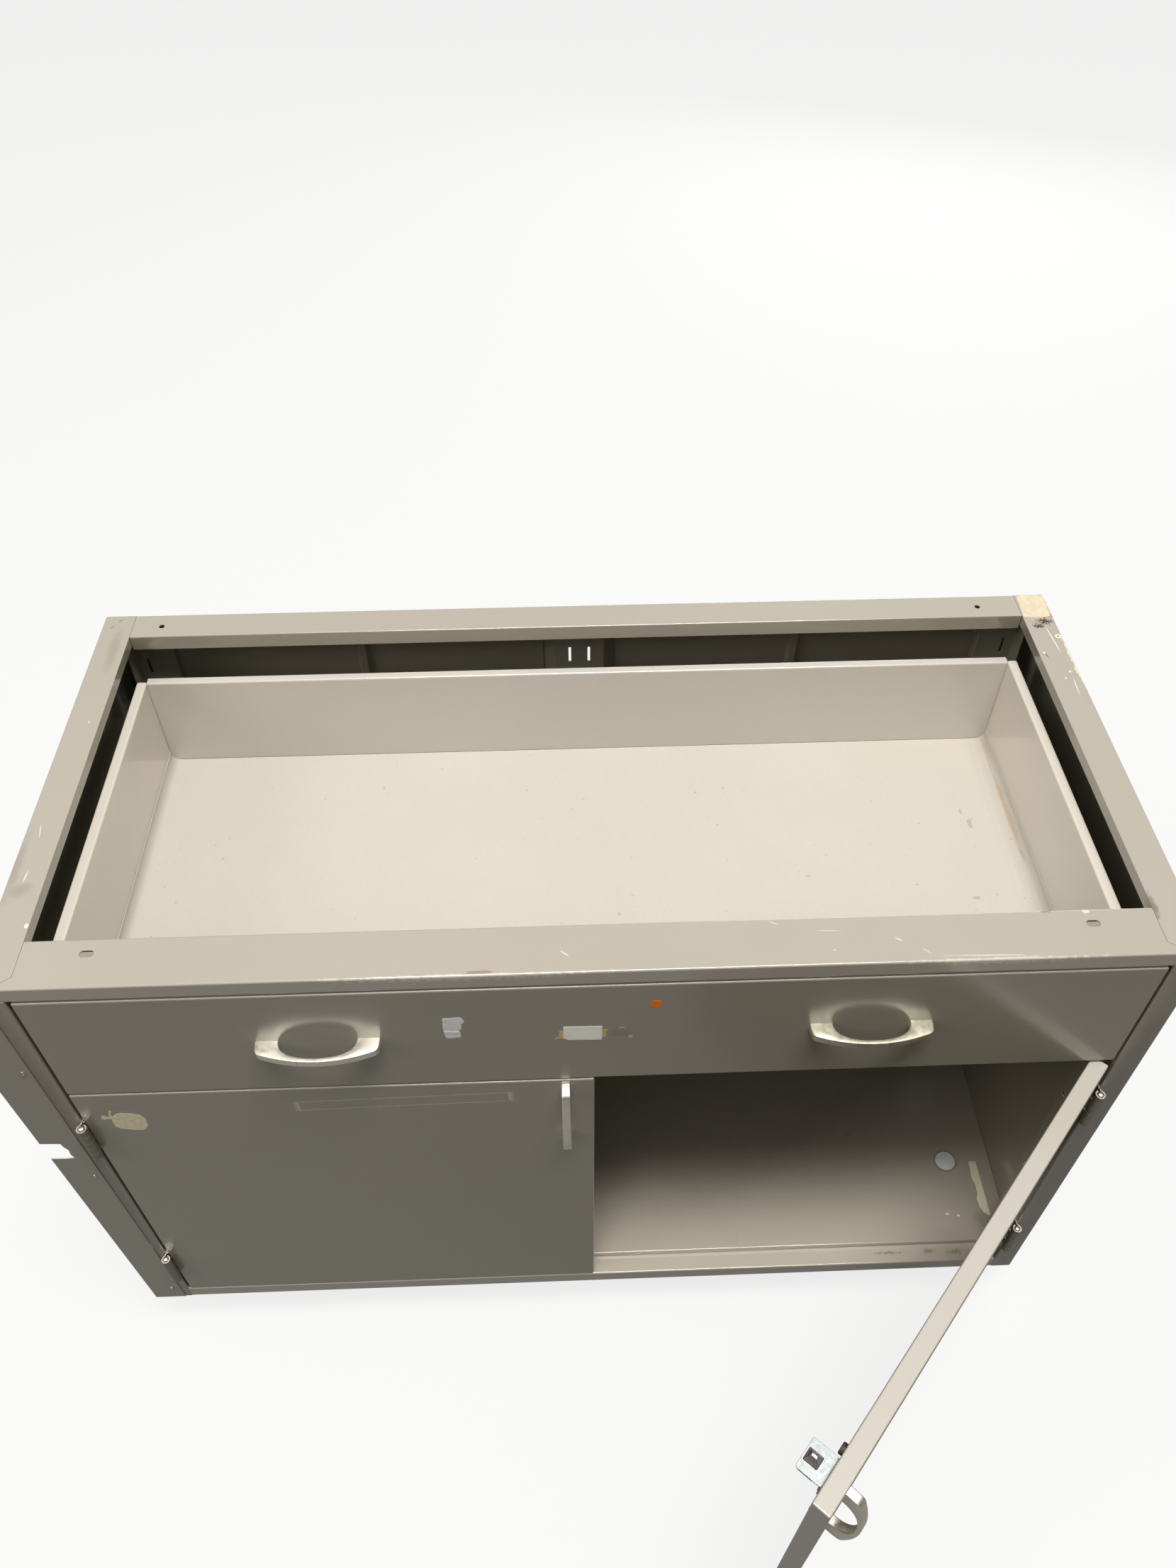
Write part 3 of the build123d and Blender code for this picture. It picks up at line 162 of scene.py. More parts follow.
tree.links.new(both, tree.nodes.new("ShaderNodeOutputMaterial").inputs["Surface"])
floor_mesh.materials.append(floor_paint)


# ---- body enamel -------------------------------------------------------------------------------
# Baked taupe enamel sprayed on cold-rolled sheet: a fine orange-peel skin, even in colour, that
# mirrors softly. Scratches, hand grime and scorches lie over it where they have collected.
def finish(name, colour, roughness, metallic=0.0):
    """New material; returns it with a function that adds a node and gives its output."""
    material = bpy.data.materials.new(name)
    material.use_nodes = True
    tree = material.node_tree
    shader = tree.nodes["Principled BSDF"]
    shader.inputs["Base Color"].default_value = (*colour, 1.0)
    shader.inputs["Roughness"].default_value = roughness
    shader.inputs["Metallic"].default_value = metallic
    add = node_hand(tree)

    def join(source, socket):
        tree.links.new(source, shader.inputs[socket])

    add.join = join
    add.shader = shader
    add.place = add("TexCoord", output="Object")
    return material, add


def linear(red, green, blue):
    """Colour from 0-255 display values, in the shader's linear light."""
    unit = np.array((red, green, blue)) / 255.0
    return tuple(float(v) for v in np.where(unit <= 0.04045, unit / 12.92, ((unit + 0.055) / 1.055) ** 2.4))


def grain(add, scale, detail=3.0, rough=0.5, stretch=None, turn=(0, 0, 0)):
    """Noise over the model, in cycles per metre, from 0 to 1."""
    where = add.place
    if stretch:
        where = add("Mapping", {"Vector": where, "Rotation": turn, "Scale": stretch}, vector_type="TEXTURE")
    return add("TexNoise", {"Vector": where, "Scale": scale, "Detail": detail, "Roughness": rough})


def step(add, value, low, high, top=1.0):
    """Smooth step of a value from 0 at low to top at high."""
    return add(
        "MapRange", {"Value": value, "From Min": low, "From Max": high, "To Max": top},
        interpolation_type="SMOOTHSTEP",
    )


def times(add, a, b):
    return add("Math", {0: a, 1: b}, operation="MULTIPLY")


def most(add, *masks):
    """Highest of several masks."""
    result = masks[0]
    for mask in masks[1:]:
        result = add("Math", {0: result, 1: mask}, operation="MAXIMUM")
    return result


def tint(add, amount, below, above):
    """Colour above laid over colour below by an amount."""
    sockets = {0: amount, 6: below, 7: above}
    return add("Mix", sockets, 2, data_type="RGBA")


def mark(add, centre, radii, turn=(0, 0, 0), ragged=0.5, scale=220.0, soft=0.25):
    """Worn patch in millimetres: 1 inside an ellipsoid about centre, 0 outside, with a torn edge."""
    near = add(
        "Mapping",
        {
            "Vector": add.place, "Location": [c / 1000 for c in centre], "Rotation": turn,
            "Scale": [r / 1000 for r in radii],
        },
        vector_type="TEXTURE",
    )
    reach = add("VectorMath", {0: near}, "Value", operation="LENGTH")
    torn = times(add, grain(add, scale, 4.0, 0.6), ragged)
    edge = add("Math", {0: reach, 1: torn}, operation="ADD")
    return step(add, edge, 1.0 + ragged * 0.5, 1.0 + ragged * 0.5 - soft)


def streak(add, start, end, width, ragged=0.8, scale=260.0):
    """Scratch in millimetres from start to end, on a level sheet or on an upright front one."""
    a, b = Vector(start), Vector(end)
    along, middle = b - a, (a + b) / 2
    if abs(along.z) > 1e-6 or abs(a.y + 280) < 2:
        turn, radii = (0.0, -math.atan2(along.z, along.x), 0.0), (along.length / 2, 12.0, width / 2)
    else:
        turn, radii = (0.0, 0.0, math.atan2(along.y, along.x)), (along.length / 2, width / 2, 12.0)
    return mark(add, middle, radii, turn, ragged, scale, 0.5)


def level(add):
    """1 on faces that look up, 0 on upright ones; it places the paler colours of painted light from above."""
    facing = add("NewGeometry", output="Normal")
    return step(add, add("SeparateXYZ", {0: facing}, "Z"), 0.55, 0.95)


def enamel(
    name, colour, peel=0.10, gloss=0.30, mirror=(0.8, 0.12, 1.7), worn=None, cloud=0.025, speck=0.12, top=None
):
    """Sprayed enamel; mirror is the clear skin's weight, roughness and index, worn adds a piece's own
    marks and top is a paler colour painted on its level faces, as painted light from above."""
    material, add = finish(name, colour, gloss)
    dim = (*[c * (1.0 - cloud) for c in colour], 1.0)
    lit = (*[min(1.0, c * (1.0 + cloud)) for c in colour], 1.0)
    shade = tint(add, step(add, grain(add, 2.6, 3.0, 0.5), 0.25, 0.78), dim, lit)
    fleck = step(add, grain(add, 700.0, 3.0, 0.7), 0.35, 0.75, speck)
    shade = tint(add, fleck, shade, (*[c * 0.70 for c in colour], 1.0))
    # Painted light: level faces take the paler top colour, upright faces keep the darker one.
    if top:
        shade = tint(add, level(add), shade, (*top, 1.0))
    rough = step(add, grain(add, 14.0, 2.0, 0.5), 0.2, 0.8, 0.06)
    rough = add("Math", {0: rough, 1: gloss - 0.03}, operation="ADD")
    if worn:
        shade = worn(add, shade)
    add.join(shade, "Base Color")
    add.join(rough, "Roughness")
    skin = add("Bump", {"Height": grain(add, 420.0, 2.0, 0.5), "Strength": peel, "Distance": 0.0006})
    swell = grain(add, 9.0, 1.0, 0.4)
    wave = add("Bump", {"Height": swell, "Strength": 0.10, "Distance": 0.004, "Normal": skin})
    add.join(wave, "Normal")
    for socket, value in zip(("Coat Weight", "Coat Roughness", "Coat IOR"), mirror):
        add.shader.inputs[socket].default_value = value
    return material


# One taupe in two copies: a lighter one for level faces and a darker one for upright faces, as painted light from
# above and painted shade on the sides.
TAUPE, UPRIGHT_SHADED_TAUPE = linear(172, 165, 153), linear(144, 138, 122)
PALE_SCRATCH = (*linear(236, 232, 222), 1.0)
# This brown serves as real grime and also as painted shade on the stile fronts.
GRIME_AND_SHADE = (*linear(84, 74, 62), 1.0)
SCORCH = (*linear(22, 14, 10), 1.0)
RUST = (*linear(132, 96, 58), 1.0)
body_enamel = enamel("taupe enamel", UPRIGHT_SHADED_TAUPE, top=TAUPE)


def side_left_wear(add, shade):
    """Darker patches along the outer edge near the front, hand grime near the back, painted shade down the stile's
    front, scorched cuts, a few pale scratches and one blob of white paint.
    """
    edge_darkening = most(
        add,
        mark(add, (-593, -125, 871), (9, 62, 12), ragged=1.2, scale=40.0, soft=0.9),
        mark(add, (-583, -160, 871), (22, 14, 12), ragged=1.4, scale=60.0, soft=0.9),
    )
    shade = tint(add, times(add, edge_darkening, 0.24), shade, GRIME_AND_SHADE)
    hands = mark(add, (-573, 212, 871), (9, 55, 12), ragged=1.3, scale=35.0, soft=0.9)
    shade = tint(add, times(add, hands, 0.20), shade, GRIME_AND_SHADE)
    # Painted shade: the stile's front is darkened with the brown.
    stile = mark(add, (-586, -280, 420), (22, 4, 560), ragged=0.5, scale=25.0, soft=0.6)
    shade = tint(add, times(add, stile, 0.55), shade, GRIME_AND_SHADE)
    cut = most(
        add,
        streak(add, (-587, 255, 871), (-582, 262, 871), 2.0),
        streak(add, (-580, 268, 871), (-573, 273, 871), 1.6),
    )
    shade = tint(add, times(add, cut, 0.7), shade, SCORCH)
    pale = most(
        add,
        streak(add, (-579.5, -131, 871), (-581, -150, 871), 1.6),
        streak(add, (-584.6, -66, 871), (-580, -92, 871), 0.9),
        streak(add, (-573, 90, 871), (-570, 84, 871), 1.4),
        mark(add, (-561.8, -204.5, 871), (2.2, 3.4, 6), ragged=0.3),
    )
    return tint(add, times(add, pale, 0.85), shade, PALE_SCRATCH)


def side_right_wear(add, shade):
    """Old glue and scorch beside the tape, its rusty edge, long pale scratches, paint rubbed off the outer edge,
    dirt in the front corner and painted shade down the stile's front.
    """
    glue = mark(add, (577, 232, 871), (19, 9, 12), ragged=1.0, scale=90.0, soft=0.7)
    shade = tint(add, times(add, glue, 0.35), shade, (*linear(206, 186, 150), 1.0))
    rust = most(
        add,
        mark(add, (593, 238, 871), (4, 5, 8), ragged=0.9),
        mark(add, (579, 225, 871), (13, 8, 8), ragged=4.5, scale=330.0, soft=1.2),
    )
    shade = tint(add, times(add, rust, 0.6), shade, RUST)
    rubbed = mark(add, (598.5, 158, 868), (5.0, 82, 8), ragged=1.5, scale=120.0, soft=0.3)
    shade = tint(add, times(add, rubbed, 0.75), shade, (*linear(232, 222, 200), 1.0))
    pale = most(
        add,
        streak(add, (581.5, 222, 871), (586.8, 160, 871), 1.8, 0.5),
        streak(add, (587.2, 124, 871), (585.2, 84, 871), 1.4, 0.6),
        mark(add, (586.8, 130.8, 871), (1.5, 2.2, 5), ragged=0.3),
        mark(add, (578, 119, 871), (1.6, 1.6, 5), ragged=0.5),
        mark(add, (566, 166.5, 871), (1.4, 2.4, 5), ragged=0.5),
        mark(add, (591.9, 196.1, 871), (3.8, 4.6, 5), ragged=0.2),
    )
    shade = tint(add, times(add, pale, 0.9), shade, PALE_SCRATCH)
    burnt = most(
        add,
        mark(add, (573.5, 217, 871), (6.5, 4.0, 6), ragged=5.5, scale=420.0, soft=0.5),
        mark(add, (585.0, 226, 871), (8.5, 6.0, 6), ragged=5.5, scale=380.0, soft=0.5),
        mark(add, (591.9, 196.1, 871), (1.2, 1.6, 5), ragged=0.2),
        streak(add, (566.5, 166, 871), (568.5, 156, 871), 1.5),
    )
    shade = tint(add, times(add, burnt, 0.95), shade, SCORCH)
    dirt_and_stile_shade = mark(add, (560.5, -222, 868), (5, 22, 12), ragged=1.4, scale=110.0, soft=0.6)
    # Painted shade: the stile's front is darkened and joined with the corner dirt.
    stile = mark(add, (586, -280, 420), (22, 4, 560), ragged=0.5, scale=25.0, soft=0.6)
    dirt_and_stile_shade = most(add, dirt_and_stile_shade, times(add, stile, 0.8))
    return tint(add, times(add, dirt_and_stile_shade, 0.6), shade, GRIME_AND_SHADE)


def front_rail_wear(add, shade):
    """A pale band along the front bend, part worn enamel and part painted highlight, and scratches from things
    dragged out of the drawer.
    """
    # Partly painted highlight: the pale band follows the rounded bend.
    bend_wear_and_highlight = most(
        add,
        mark(add, (-135, -279, 869), (150, 2.4, 6), ragged=1.9, scale=160.0, soft=0.5),
        mark(add, (395, -279, 869), (110, 2.4, 6), ragged=1.9, scale=160.0, soft=0.5),
    )
    shade = tint(add, times(add, bend_wear_and_highlight, 0.35), shade, PALE_SCRATCH)
    cuts = most(
        add,
        streak(add, (329, -273.2, 871), (432, -275.6, 871), 1.5, 0.9, 90.0),
        streak(add, (317, -262.6, 871), (327, -272, 871), 1.0),
        streak(add, (293, -249.6, 871), (302, -255.2, 871), 2.2, 0.4),
        streak(add, (-35, -253, 871), (-25.5, -261, 871), 2.4, 0.4),
        streak(add, (172, -226, 871), (184, -231.2, 871), 1.2),
        streak(add, (217, -239, 871), (245, -240.2, 871), 0.9),
        mark(add, (491, -225.5, 871), (5, 2.4, 6), ragged=1.1),
        mark(add, (232.7, -263, 871), (1.2, 1.0, 5), ragged=0.3),
    )
    shade = tint(add, times(add, cuts, 0.6), shade, PALE_SCRATCH)
    brown = mark(add, (-113, -276, 870), (17, 2.2, 6), ragged=1.0, scale=160.0)
    shade = tint(add, times(add, brown, 0.55), shade, RUST)
    chip = mark(add, (451.1, -224.2, 870), (6, 1.4, 6), ragged=0.9)
    return tint(add, times(add, chip, 0.7), shade, GRIME_AND_SHADE)


def bottom_rail_wear(add, shade):
    """Grime and brown water stains where the door's foot closes on the strip."""
    brown = most(
        add,
        mark(add, (515, -268, 125), (15, 5, 12), ragged=2.6, scale=260.0, soft=0.9),
        mark(add, (478, -266, 125), (12, 5, 12), ragged=2.6, scale=260.0, soft=0.9),
        mark(add, (420, -266, 125), (30, 3, 12), ragged=2.6, scale=200.0, soft=0.9),
    )
    shade = tint(add, times(add, brown, 0.55), shade, (*linear(112, 96, 70), 1.0))
    chip = mark(add, (541, -266, 125), (3.4, 2.6, 8), ragged=0.4)
    return tint(add, chip, shade, PALE_SCRATCH)


PLUGS_AT = [(x, y) for x in (-530, 530) for y in (-136, 230)]


def floor_panel_wear(add, shade):
    """Dust dulling the front corner, and a ring of grime round each floor plug."""
    dust = mark(add, (563, -228, 136), (20, 26, 12), ragged=1.3, scale=60.0, soft=1.3)
    shade = tint(add, times(add, dust, 0.42), shade, GRIME_AND_SHADE)
    rings = []
    for x, y in PLUGS_AT:
        outer = mark(add, (x, y, 136), (18.5, 18.5, 12), ragged=0.1, soft=0.12)
        inner = mark(add, (x, y, 136), (15.0, 15.0, 12), ragged=0.1)
        rings.append(times(add, outer, add("Math", {0: 1.0, 1: inner}, operation="SUBTRACT")))
    return tint(add, times(add, most(add, *rings), 0.3), shade, GRIME_AND_SHADE)


# Level faces paler, upright faces darker: painted light from above.
side_left_enamel = enamel("left side enamel", UPRIGHT_SHADED_TAUPE, worn=side_left_wear, top=TAUPE)
side_right_enamel = enamel("right side enamel", UPRIGHT_SHADED_TAUPE, worn=side_right_wear, top=TAUPE)
front_rail_enamel = enamel("front rail enamel", TAUPE, worn=front_rail_wear)
# Painted light: the bottom rail's level strip and the cupboard floor are painted paler than the body's taupe, in
# place of light reaching in from the front.
bottom_rail_enamel = enamel("bottom rail enamel", TAUPE, worn=bottom_rail_wear, top=linear(188, 180, 166))
floor_enamel = enamel(
    "cupboard floor enamel", linear(182, 174, 160), peel=0.2, worn=floor_panel_wear, speck=0.25
)


def metal(name, colour, roughness, stain=0.2, scale=60.0, worn=None, coated=1.0, upright=None):
    """Bare or plated metal with a slightly uneven, handled surface; coated is lower where lacquer or
    oxide hides it, and upright is a darker colour painted on upright faces as painted shade, so level faces read
    as lit."""
    material, add = finish(name, colour, roughness, coated)
    blotch = step(add, grain(add, scale, 5.0, 0.65), 0.42, 0.70, stain)
    shade = tint(add, blotch, (*colour, 1.0), (*[c * 0.55 for c in colour], 1.0))
    # Painted light: upright faces take the darker colour, level faces keep the bright one.
    if upright:
        shade = tint(add, level(add), (*upright, 1.0), shade)
    if worn:
        shade = worn(add, shade)
    add.join(shade, "Base Color")
    uneven = step(add, grain(add, scale * 3.0, 3.0, 0.6), 0.3, 0.7, 0.16)
    add.join(add("Math", {0: uneven, 1: roughness}, operation="ADD"), "Roughness")
    dents = add("Bump", {"Height": grain(add, scale * 8.0, 2.0), "Strength": 0.08, "Distance": 0.0004})
    add.join(dents, "Normal")
    return material


def moulded(name, colour, roughness):
    """Plain moulded plastic or rubber with a faint mould texture."""
    material, add = finish(name, colour, roughness)
    shade = step(add, grain(add, 90.0, 3.0), 0.3, 0.7, 0.25)
    add.join(tint(add, shade, (*colour, 1.0), (*[c * 0.8 for c in colour], 1.0)), "Base Color")
    add.join(add("Bump", {"Height": grain(add, 1200.0), "Strength": 0.05, "Distance": 0.0003}), "Normal")
    return material


TRAY = linear(203, 197, 187)
tray_enamel = enamel("tray enamel", TRAY, peel=0.25, gloss=0.42, speck=0.15)
runner_steel = metal("runner steel", linear(150, 148, 142), 0.38)
# Painted light: bright level tops and darker upright sides on the hinge nickel.
hinge_nickel = metal(
    "hinge nickel", linear(228, 224, 212), 0.36, 0.35, 120.0, upright=linear(152, 146, 134)
)
catch_zinc = metal("catch zinc", linear(170, 176, 178), 0.42, 0.45, 190.0)
bolt_chrome = metal("bolt chrome", linear(178, 167, 164), 0.17, 0.2, 220.0)
screw_zinc = metal("screw zinc", linear(200, 198, 188), 0.26)
plug_steel = metal("plug steel", linear(243, 241, 237), 0.55, 0.18, 260.0, coated=0.12)
bumper_rubber = moulded("bumper rubber", linear(58, 54, 40), 0.45)
SLOT_FINISH = {
    "taupe_enamel": body_enamel, "drawer_enamel": tray_enamel, "hinge_nickel": hinge_nickel,
    "pull_aluminium": screw_zinc, "catch_zinc": catch_zinc, "bolt_chrome": bolt_chrome,
    "screw_zinc": screw_zinc, "runner_steel": runner_steel, "plug_steel": plug_steel,
    "roller_nylon": moulded("roller nylon", linear(225, 222, 212), 0.45), "bumper_rubber": bumper_rubber,
}
# Each node takes its slot's finish first; worn sheets then get their own.
NODES = frame["nodes"]
SLOT_OF = {part["node"]: part.get("material_slot") for part in frame["record"]["subparts"]}
for name, node in NODES.items():
    node.data.materials.clear()
    node.data.materials.append(SLOT_FINISH[SLOT_OF[name]])
for name, cover in (
    ("side_left", side_left_enamel), ("side_right", side_right_enamel),
    ("top_front_rail", front_rail_enamel), ("bottom_rail", bottom_rail_enamel), ("floor_panel", floor_enamel),
):
    NODES[name].data.materials[0] = cover


# ---- drawer and doors ----------------------------------------------------------------------------
# The fronts are enamelled smoother than the carcass and mirror their pulls. The tray is paler, its
# bottom coved up the sides; crumbs and damp have stained it along the right-hand wall.
def drawer_front_wear(add, shade):
    """Old glue where a longer tape sat, and one rub under the seat."""
    ghost = mark(add, (25, -280, 760), (15, 12, 9), ragged=0.5, scale=120.0, soft=0.5)
    shade = tint(add, times(add, ghost, 0.35), shade, (*linear(104, 100, 100), 1.0))
    flecks = most(
        add,
        mark(add, (26.5, -280, 770.6), (4.5, 12, 1.2), ragged=1.2, scale=500.0),
        mark(add, (35.6, -280, 753.5), (2.6, 12, 2.6), ragged=0.9, scale=500.0),
    )
    return tint(add, times(add, flecks, 0.5), shade, PALE_SCRATCH)


OLD_GLUE = (*linear(196, 190, 170), 1.0)


def door_wear(add, shade):
    """Outline left by a long strip of tape near the door's head, with dirt drawn into its edge."""
    near = add(
        "Mapping",
        {
            "Vector": add.place, "Location": (-0.2105, -0.280, 0.6335), "Rotation": (0.0, -0.026, 0.0),
            "Scale": (0.116, 0.05, 0.0095),
        },
        vector_type="TEXTURE",
    )
    near = add("VectorMath", {0: near}, operation="ABSOLUTE")
    x = add("SeparateXYZ", {0: near}, "X")
    z = add("SeparateXYZ", {0: near}, "Z")
    inside = most(add, x, z)
    outer = step(add, inside, 1.06, 1.0)
    ends = step(add, x, 0.985, 0.990)
    sides = step(add, z, 0.84, 0.90)
    patchy = step(add, grain(add, 60.0, 4.0, 0.7), 0.30, 0.50, 0.75)
    line = times(add, times(add, outer, most(add, ends, sides)), patchy)
    shade = tint(add, line, shade, OLD_GLUE)
    faint = streak(add, (-545, -280, 634), (-486, -280, 628), 1.6, 1.4, 120.0)
    return tint(add, times(add, faint, 0.25), shade, OLD_GLUE)


def tray_bottom_wear(add, shade):
    """Damp stain along the right-hand cove, brown in the back corner, a paler band painted along that cove as
    painted highlight, uneven darker drift and scattered specks.
    """
    stain = most(
        add,
        mark(add, (541, 178, 690), (7, 34, 16), ragged=1.2, scale=90.0, soft=0.8),
        mark(add, (537, 60, 690), (3.0, 110, 16), ragged=1.5, scale=60.0, soft=0.6),
    )
    shade = tint(add, times(add, stain, 0.55), shade, (*linear(186, 160, 118), 1.0))
    # Painted highlight: a paler band along the right-hand cove.
    cove_highlight = mark(add, (527, 50, 690), (9, 260, 16), (0, 0, -0.02), ragged=0.3, scale=30.0, soft=0.25)
    shade = tint(add, times(add, cove_highlight, 0.35), shade, (*[min(1.0, c * 1.12) for c in TRAY], 1.0))
    drift = step(add, grain(add, 5.0, 3.0, 0.6), 0.35, 0.75, 0.14)
    shade = tint(add, drift, shade, (*linear(178, 168, 152), 1.0))
    specks = most(
        add,
        mark(add, (486, 50, 690), (3.0, 9.0, 8), ragged=1.7, scale=300.0),
        mark(add, (479, 70, 690), (2.2, 5.0, 8), ragged=1.4, scale=300.0),
        mark(add, (464, -68, 690), (5.0, 3.0, 8), ragged=1.6, scale=300.0),
        mark(add, (521.5, -71, 690), (1.3, 1.8, 8), ragged=0.6),
        mark(add, (531, 22, 690), (3.0, 1.6, 8), ragged=0.8),
        mark(add, (-258, 139, 690), (1.6, 3.2, 8), ragged=0.8),
        mark(add, (-447, 27, 690), (1.6, 1.6, 8), ragged=0.6),
        mark(add, (36, -76, 690), (1.8, 3.0, 8), ragged=0.8),
        mark(add, (398, -45, 690), (3.0, 1.0, 8), ragged=0.8),
    )
    shade = tint(add, times(add, specks, 0.32), shade, (*linear(120, 98, 72), 1.0))
    dots = step(add, grain(add, 160.0, 1.0, 0.5), 0.77, 0.80)
    return tint(add, times(add, dots, 0.30), shade, GRIME_AND_SHADE)


# Painted light: the fronts' level tops and edges are painted paler and their upright faces darker.
FRONT_MIRROR = (0.75, 0.17, 1.7)
FRONT_LIT_TOP = linear(188, 182, 172)
front_enamel, drawer_front_enamel, door_left_enamel = (
    enamel(name, UPRIGHT_SHADED_TAUPE, mirror=FRONT_MIRROR, top=FRONT_LIT_TOP, worn=worn)
    for name, worn in (
        ("front enamel", None), ("drawer front enamel", drawer_front_wear), ("left door enamel", door_wear),
    )
)
# Painted light: the tray's sides are a paler copy of the tray enamel, in place of light on its walls.
lit_tray_side_enamel = enamel("tray side enamel", linear(219, 211, 199), peel=0.25, gloss=0.42, speck=0.12)
tray_bottom_enamel = enamel(
    "tray bottom enamel", TRAY, peel=0.3, gloss=0.42, worn=tray_bottom_wear, speck=0.22
)
for name, cover in (
    ("drawer_front", drawer_front_enamel), ("drawer_front_liner", front_enamel),
    ("door_left", door_left_enamel), ("door_left_liner", front_enamel),
    ("door_right", front_enamel), ("door_right_liner", front_enamel),
    ("drawer_bottom", tray_bottom_enamel), ("drawer_side_left", lit_tray_side_enamel),
    ("drawer_side_right", lit_tray_side_enamel),
):
    NODES[name].data.materials[0] = cover


# ---- pulls ---------------------------------------------------------------------------------------
# Die-cast aluminium arches, brushed once and dulled since: two legs that lean in a little under a
# shallow crown, round an oval opening. Two screws from behind hold each one.
def ringed(grid, looped=False):
    """Points and faces of a skin over rings: each ring closes on itself and joins the next; the end
    rings are filled, or with looped the last ring joins the first."""
    spot = np.arange(grid.shape[0] * grid.shape[1]).reshape(grid.shape[:2])
    here, onward = (spot, np.roll(spot, -1, 0)) if looped else (spot[:-1], spot[1:])
    quads = np.stack((here, np.roll(here, -1, 1), np.roll(onward, -1, 1), onward), 2)
    quads = quads.reshape(-1, 4).tolist()
    if not looped:
        quads += [spot[0, ::-1].tolist(), spot[-1].tolist()]
    return grid.reshape(-1, 3), quads


def set_down(shells, origin, along, across, up):
    """Skins drawn in millimetres as (along, across, up), set down at a place in metres."""
    axes = np.array((along, across, up), dtype=float) / 1000.0
    return [(np.asarray(origin, dtype=float) + points @ axes, faces) for points, faces in shells]


def make(name, shells, cover, body, slot, *stands_for, sharp=38.0):
    """One piece from several closed skins, faces turned outwards, riding on a body."""
    faces, start = [], 0
    for points, loops in shells:
        faces += [[start + spot for spot in loop] for loop in loops]
        start += len(points)
    mesh = bpy.data.meshes.new(name)
    mesh.from_pydata(np.concatenate([points for points, _ in shells]).tolist(), [], faces)
    shape = bmesh.new()
    shape.from_mesh(mesh)
    bmesh.ops.recalc_face_normals(shape, faces=shape.faces)
    shape.to_mesh(mesh)
    shape.free()
    mesh.shade_smooth()
    mesh.set_sharp_from_angle(angle=math.radians(sharp))
    mesh.materials.append(cover)
    piece = bpy.data.objects.new(name, mesh)
    bpy.context.scene.collection.objects.link(piece)
    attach(piece, body)
    if stands_for:
        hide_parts(*stands_for)
    return piece


PULL_HALF, PULL_REACH, PULL_WIDE, PULL_EDGE = 63.5, 26.0, 9.5, 1.1
PULL_EYE = (39.8, 21.0, 2.35)
PULL_KNEE = (55.226, 8.849, 7.5)
PULL_CROWN = 170.36


def pull_skin():
    """Radial sections at bearings 0 to pi about the middle of the seat: each is a rounded oblong that
    spans from the eye, a superellipse, to the outline, where the outline's radius at a bearing comes
    from its leg, its knee arc and its crown arc."""
    knee = np.linspace(math.radians(4.83), math.radians(70.18), 14)
    crown = np.linspace(math.radians(70.18), math.pi / 2, 24)
    knee_x, knee_y, knee_r = PULL_KNEE
    outline = np.concatenate((
        [[PULL_HALF, 0.0]],
        np.stack((knee_x + knee_r * np.cos(knee), knee_y + knee_r * np.sin(knee)), 1),
        np.stack((PULL_CROWN * np.cos(crown), PULL_REACH - PULL_CROWN + PULL_CROWN * np.sin(crown)), 1),
    ))
    bearing, radius = np.arctan2(outline[:, 1], outline[:, 0]), np.hypot(outline[:, 0], outline[:, 1])
    turn = np.unique(np.round(np.concatenate((np.linspace(0, math.pi, 97), bearing, math.pi - bearing)), 5))
    outer = np.interp(np.minimum(turn, math.pi - turn), bearing, radius)
    a, b, power = PULL_EYE
    inner = (abs(np.cos(turn) / a) ** power + abs(np.sin(turn) / b) ** power) ** (-1 / power)
    corner = np.linspace(0.0, math.pi / 2, 5) + np.array([[0.0], [0.5], [1.0], [1.5]]) * math.pi
    side_r, side_t = np.array([[1], [-1], [-1], [1]]), np.array([[1], [1], [-1], [-1]])
    half = (outer - inner)[:, None] / 2
    reach = (outer + inner)[:, None] / 2 + (side_r * np.ones(5)).ravel() * (half - PULL_EDGE)
    reach = reach + PULL_EDGE * np.cos(corner).ravel()
    wide = (side_t * (PULL_WIDE / 2 - PULL_EDGE) + PULL_EDGE * np.sin(corner)).ravel() + 0.0 * reach
    grid = np.stack((reach * np.cos(turn)[:, None], reach * np.sin(turn)[:, None], wide), 2)
    return ringed(grid)


def pull_stains(add, shade):
    """Cloudy oxide with rubbed spots over both feet, and one yellowed hairline."""
    cloud = step(add, grain(add, 110.0, 5.0, 0.7), 0.38, 0.66, 0.55)
    shade = tint(add, cloud, shade, (*linear(168, 164, 142), 1.0))
    spots = most(
        add,
        mark(add, (239, -288, 766), (6.5, 4.5, 8), ragged=0.9, scale=300.0, soft=0.6),
        mark(add, (330, -290, 766), (5.0, 5.0, 8), ragged=0.9, scale=300.0, soft=0.6),
    )
    return tint(add, times(add, spots, 0.8), shade, (*linear(238, 236, 222), 1.0))


def pull_shine(add, shade):
    hair = streak(add, (-302, -303, 766), (-300, -309, 766), 1.2, 0.5)
    return tint(add, times(add, hair, 0.6), shade, (*linear(160, 140, 80), 1.0))


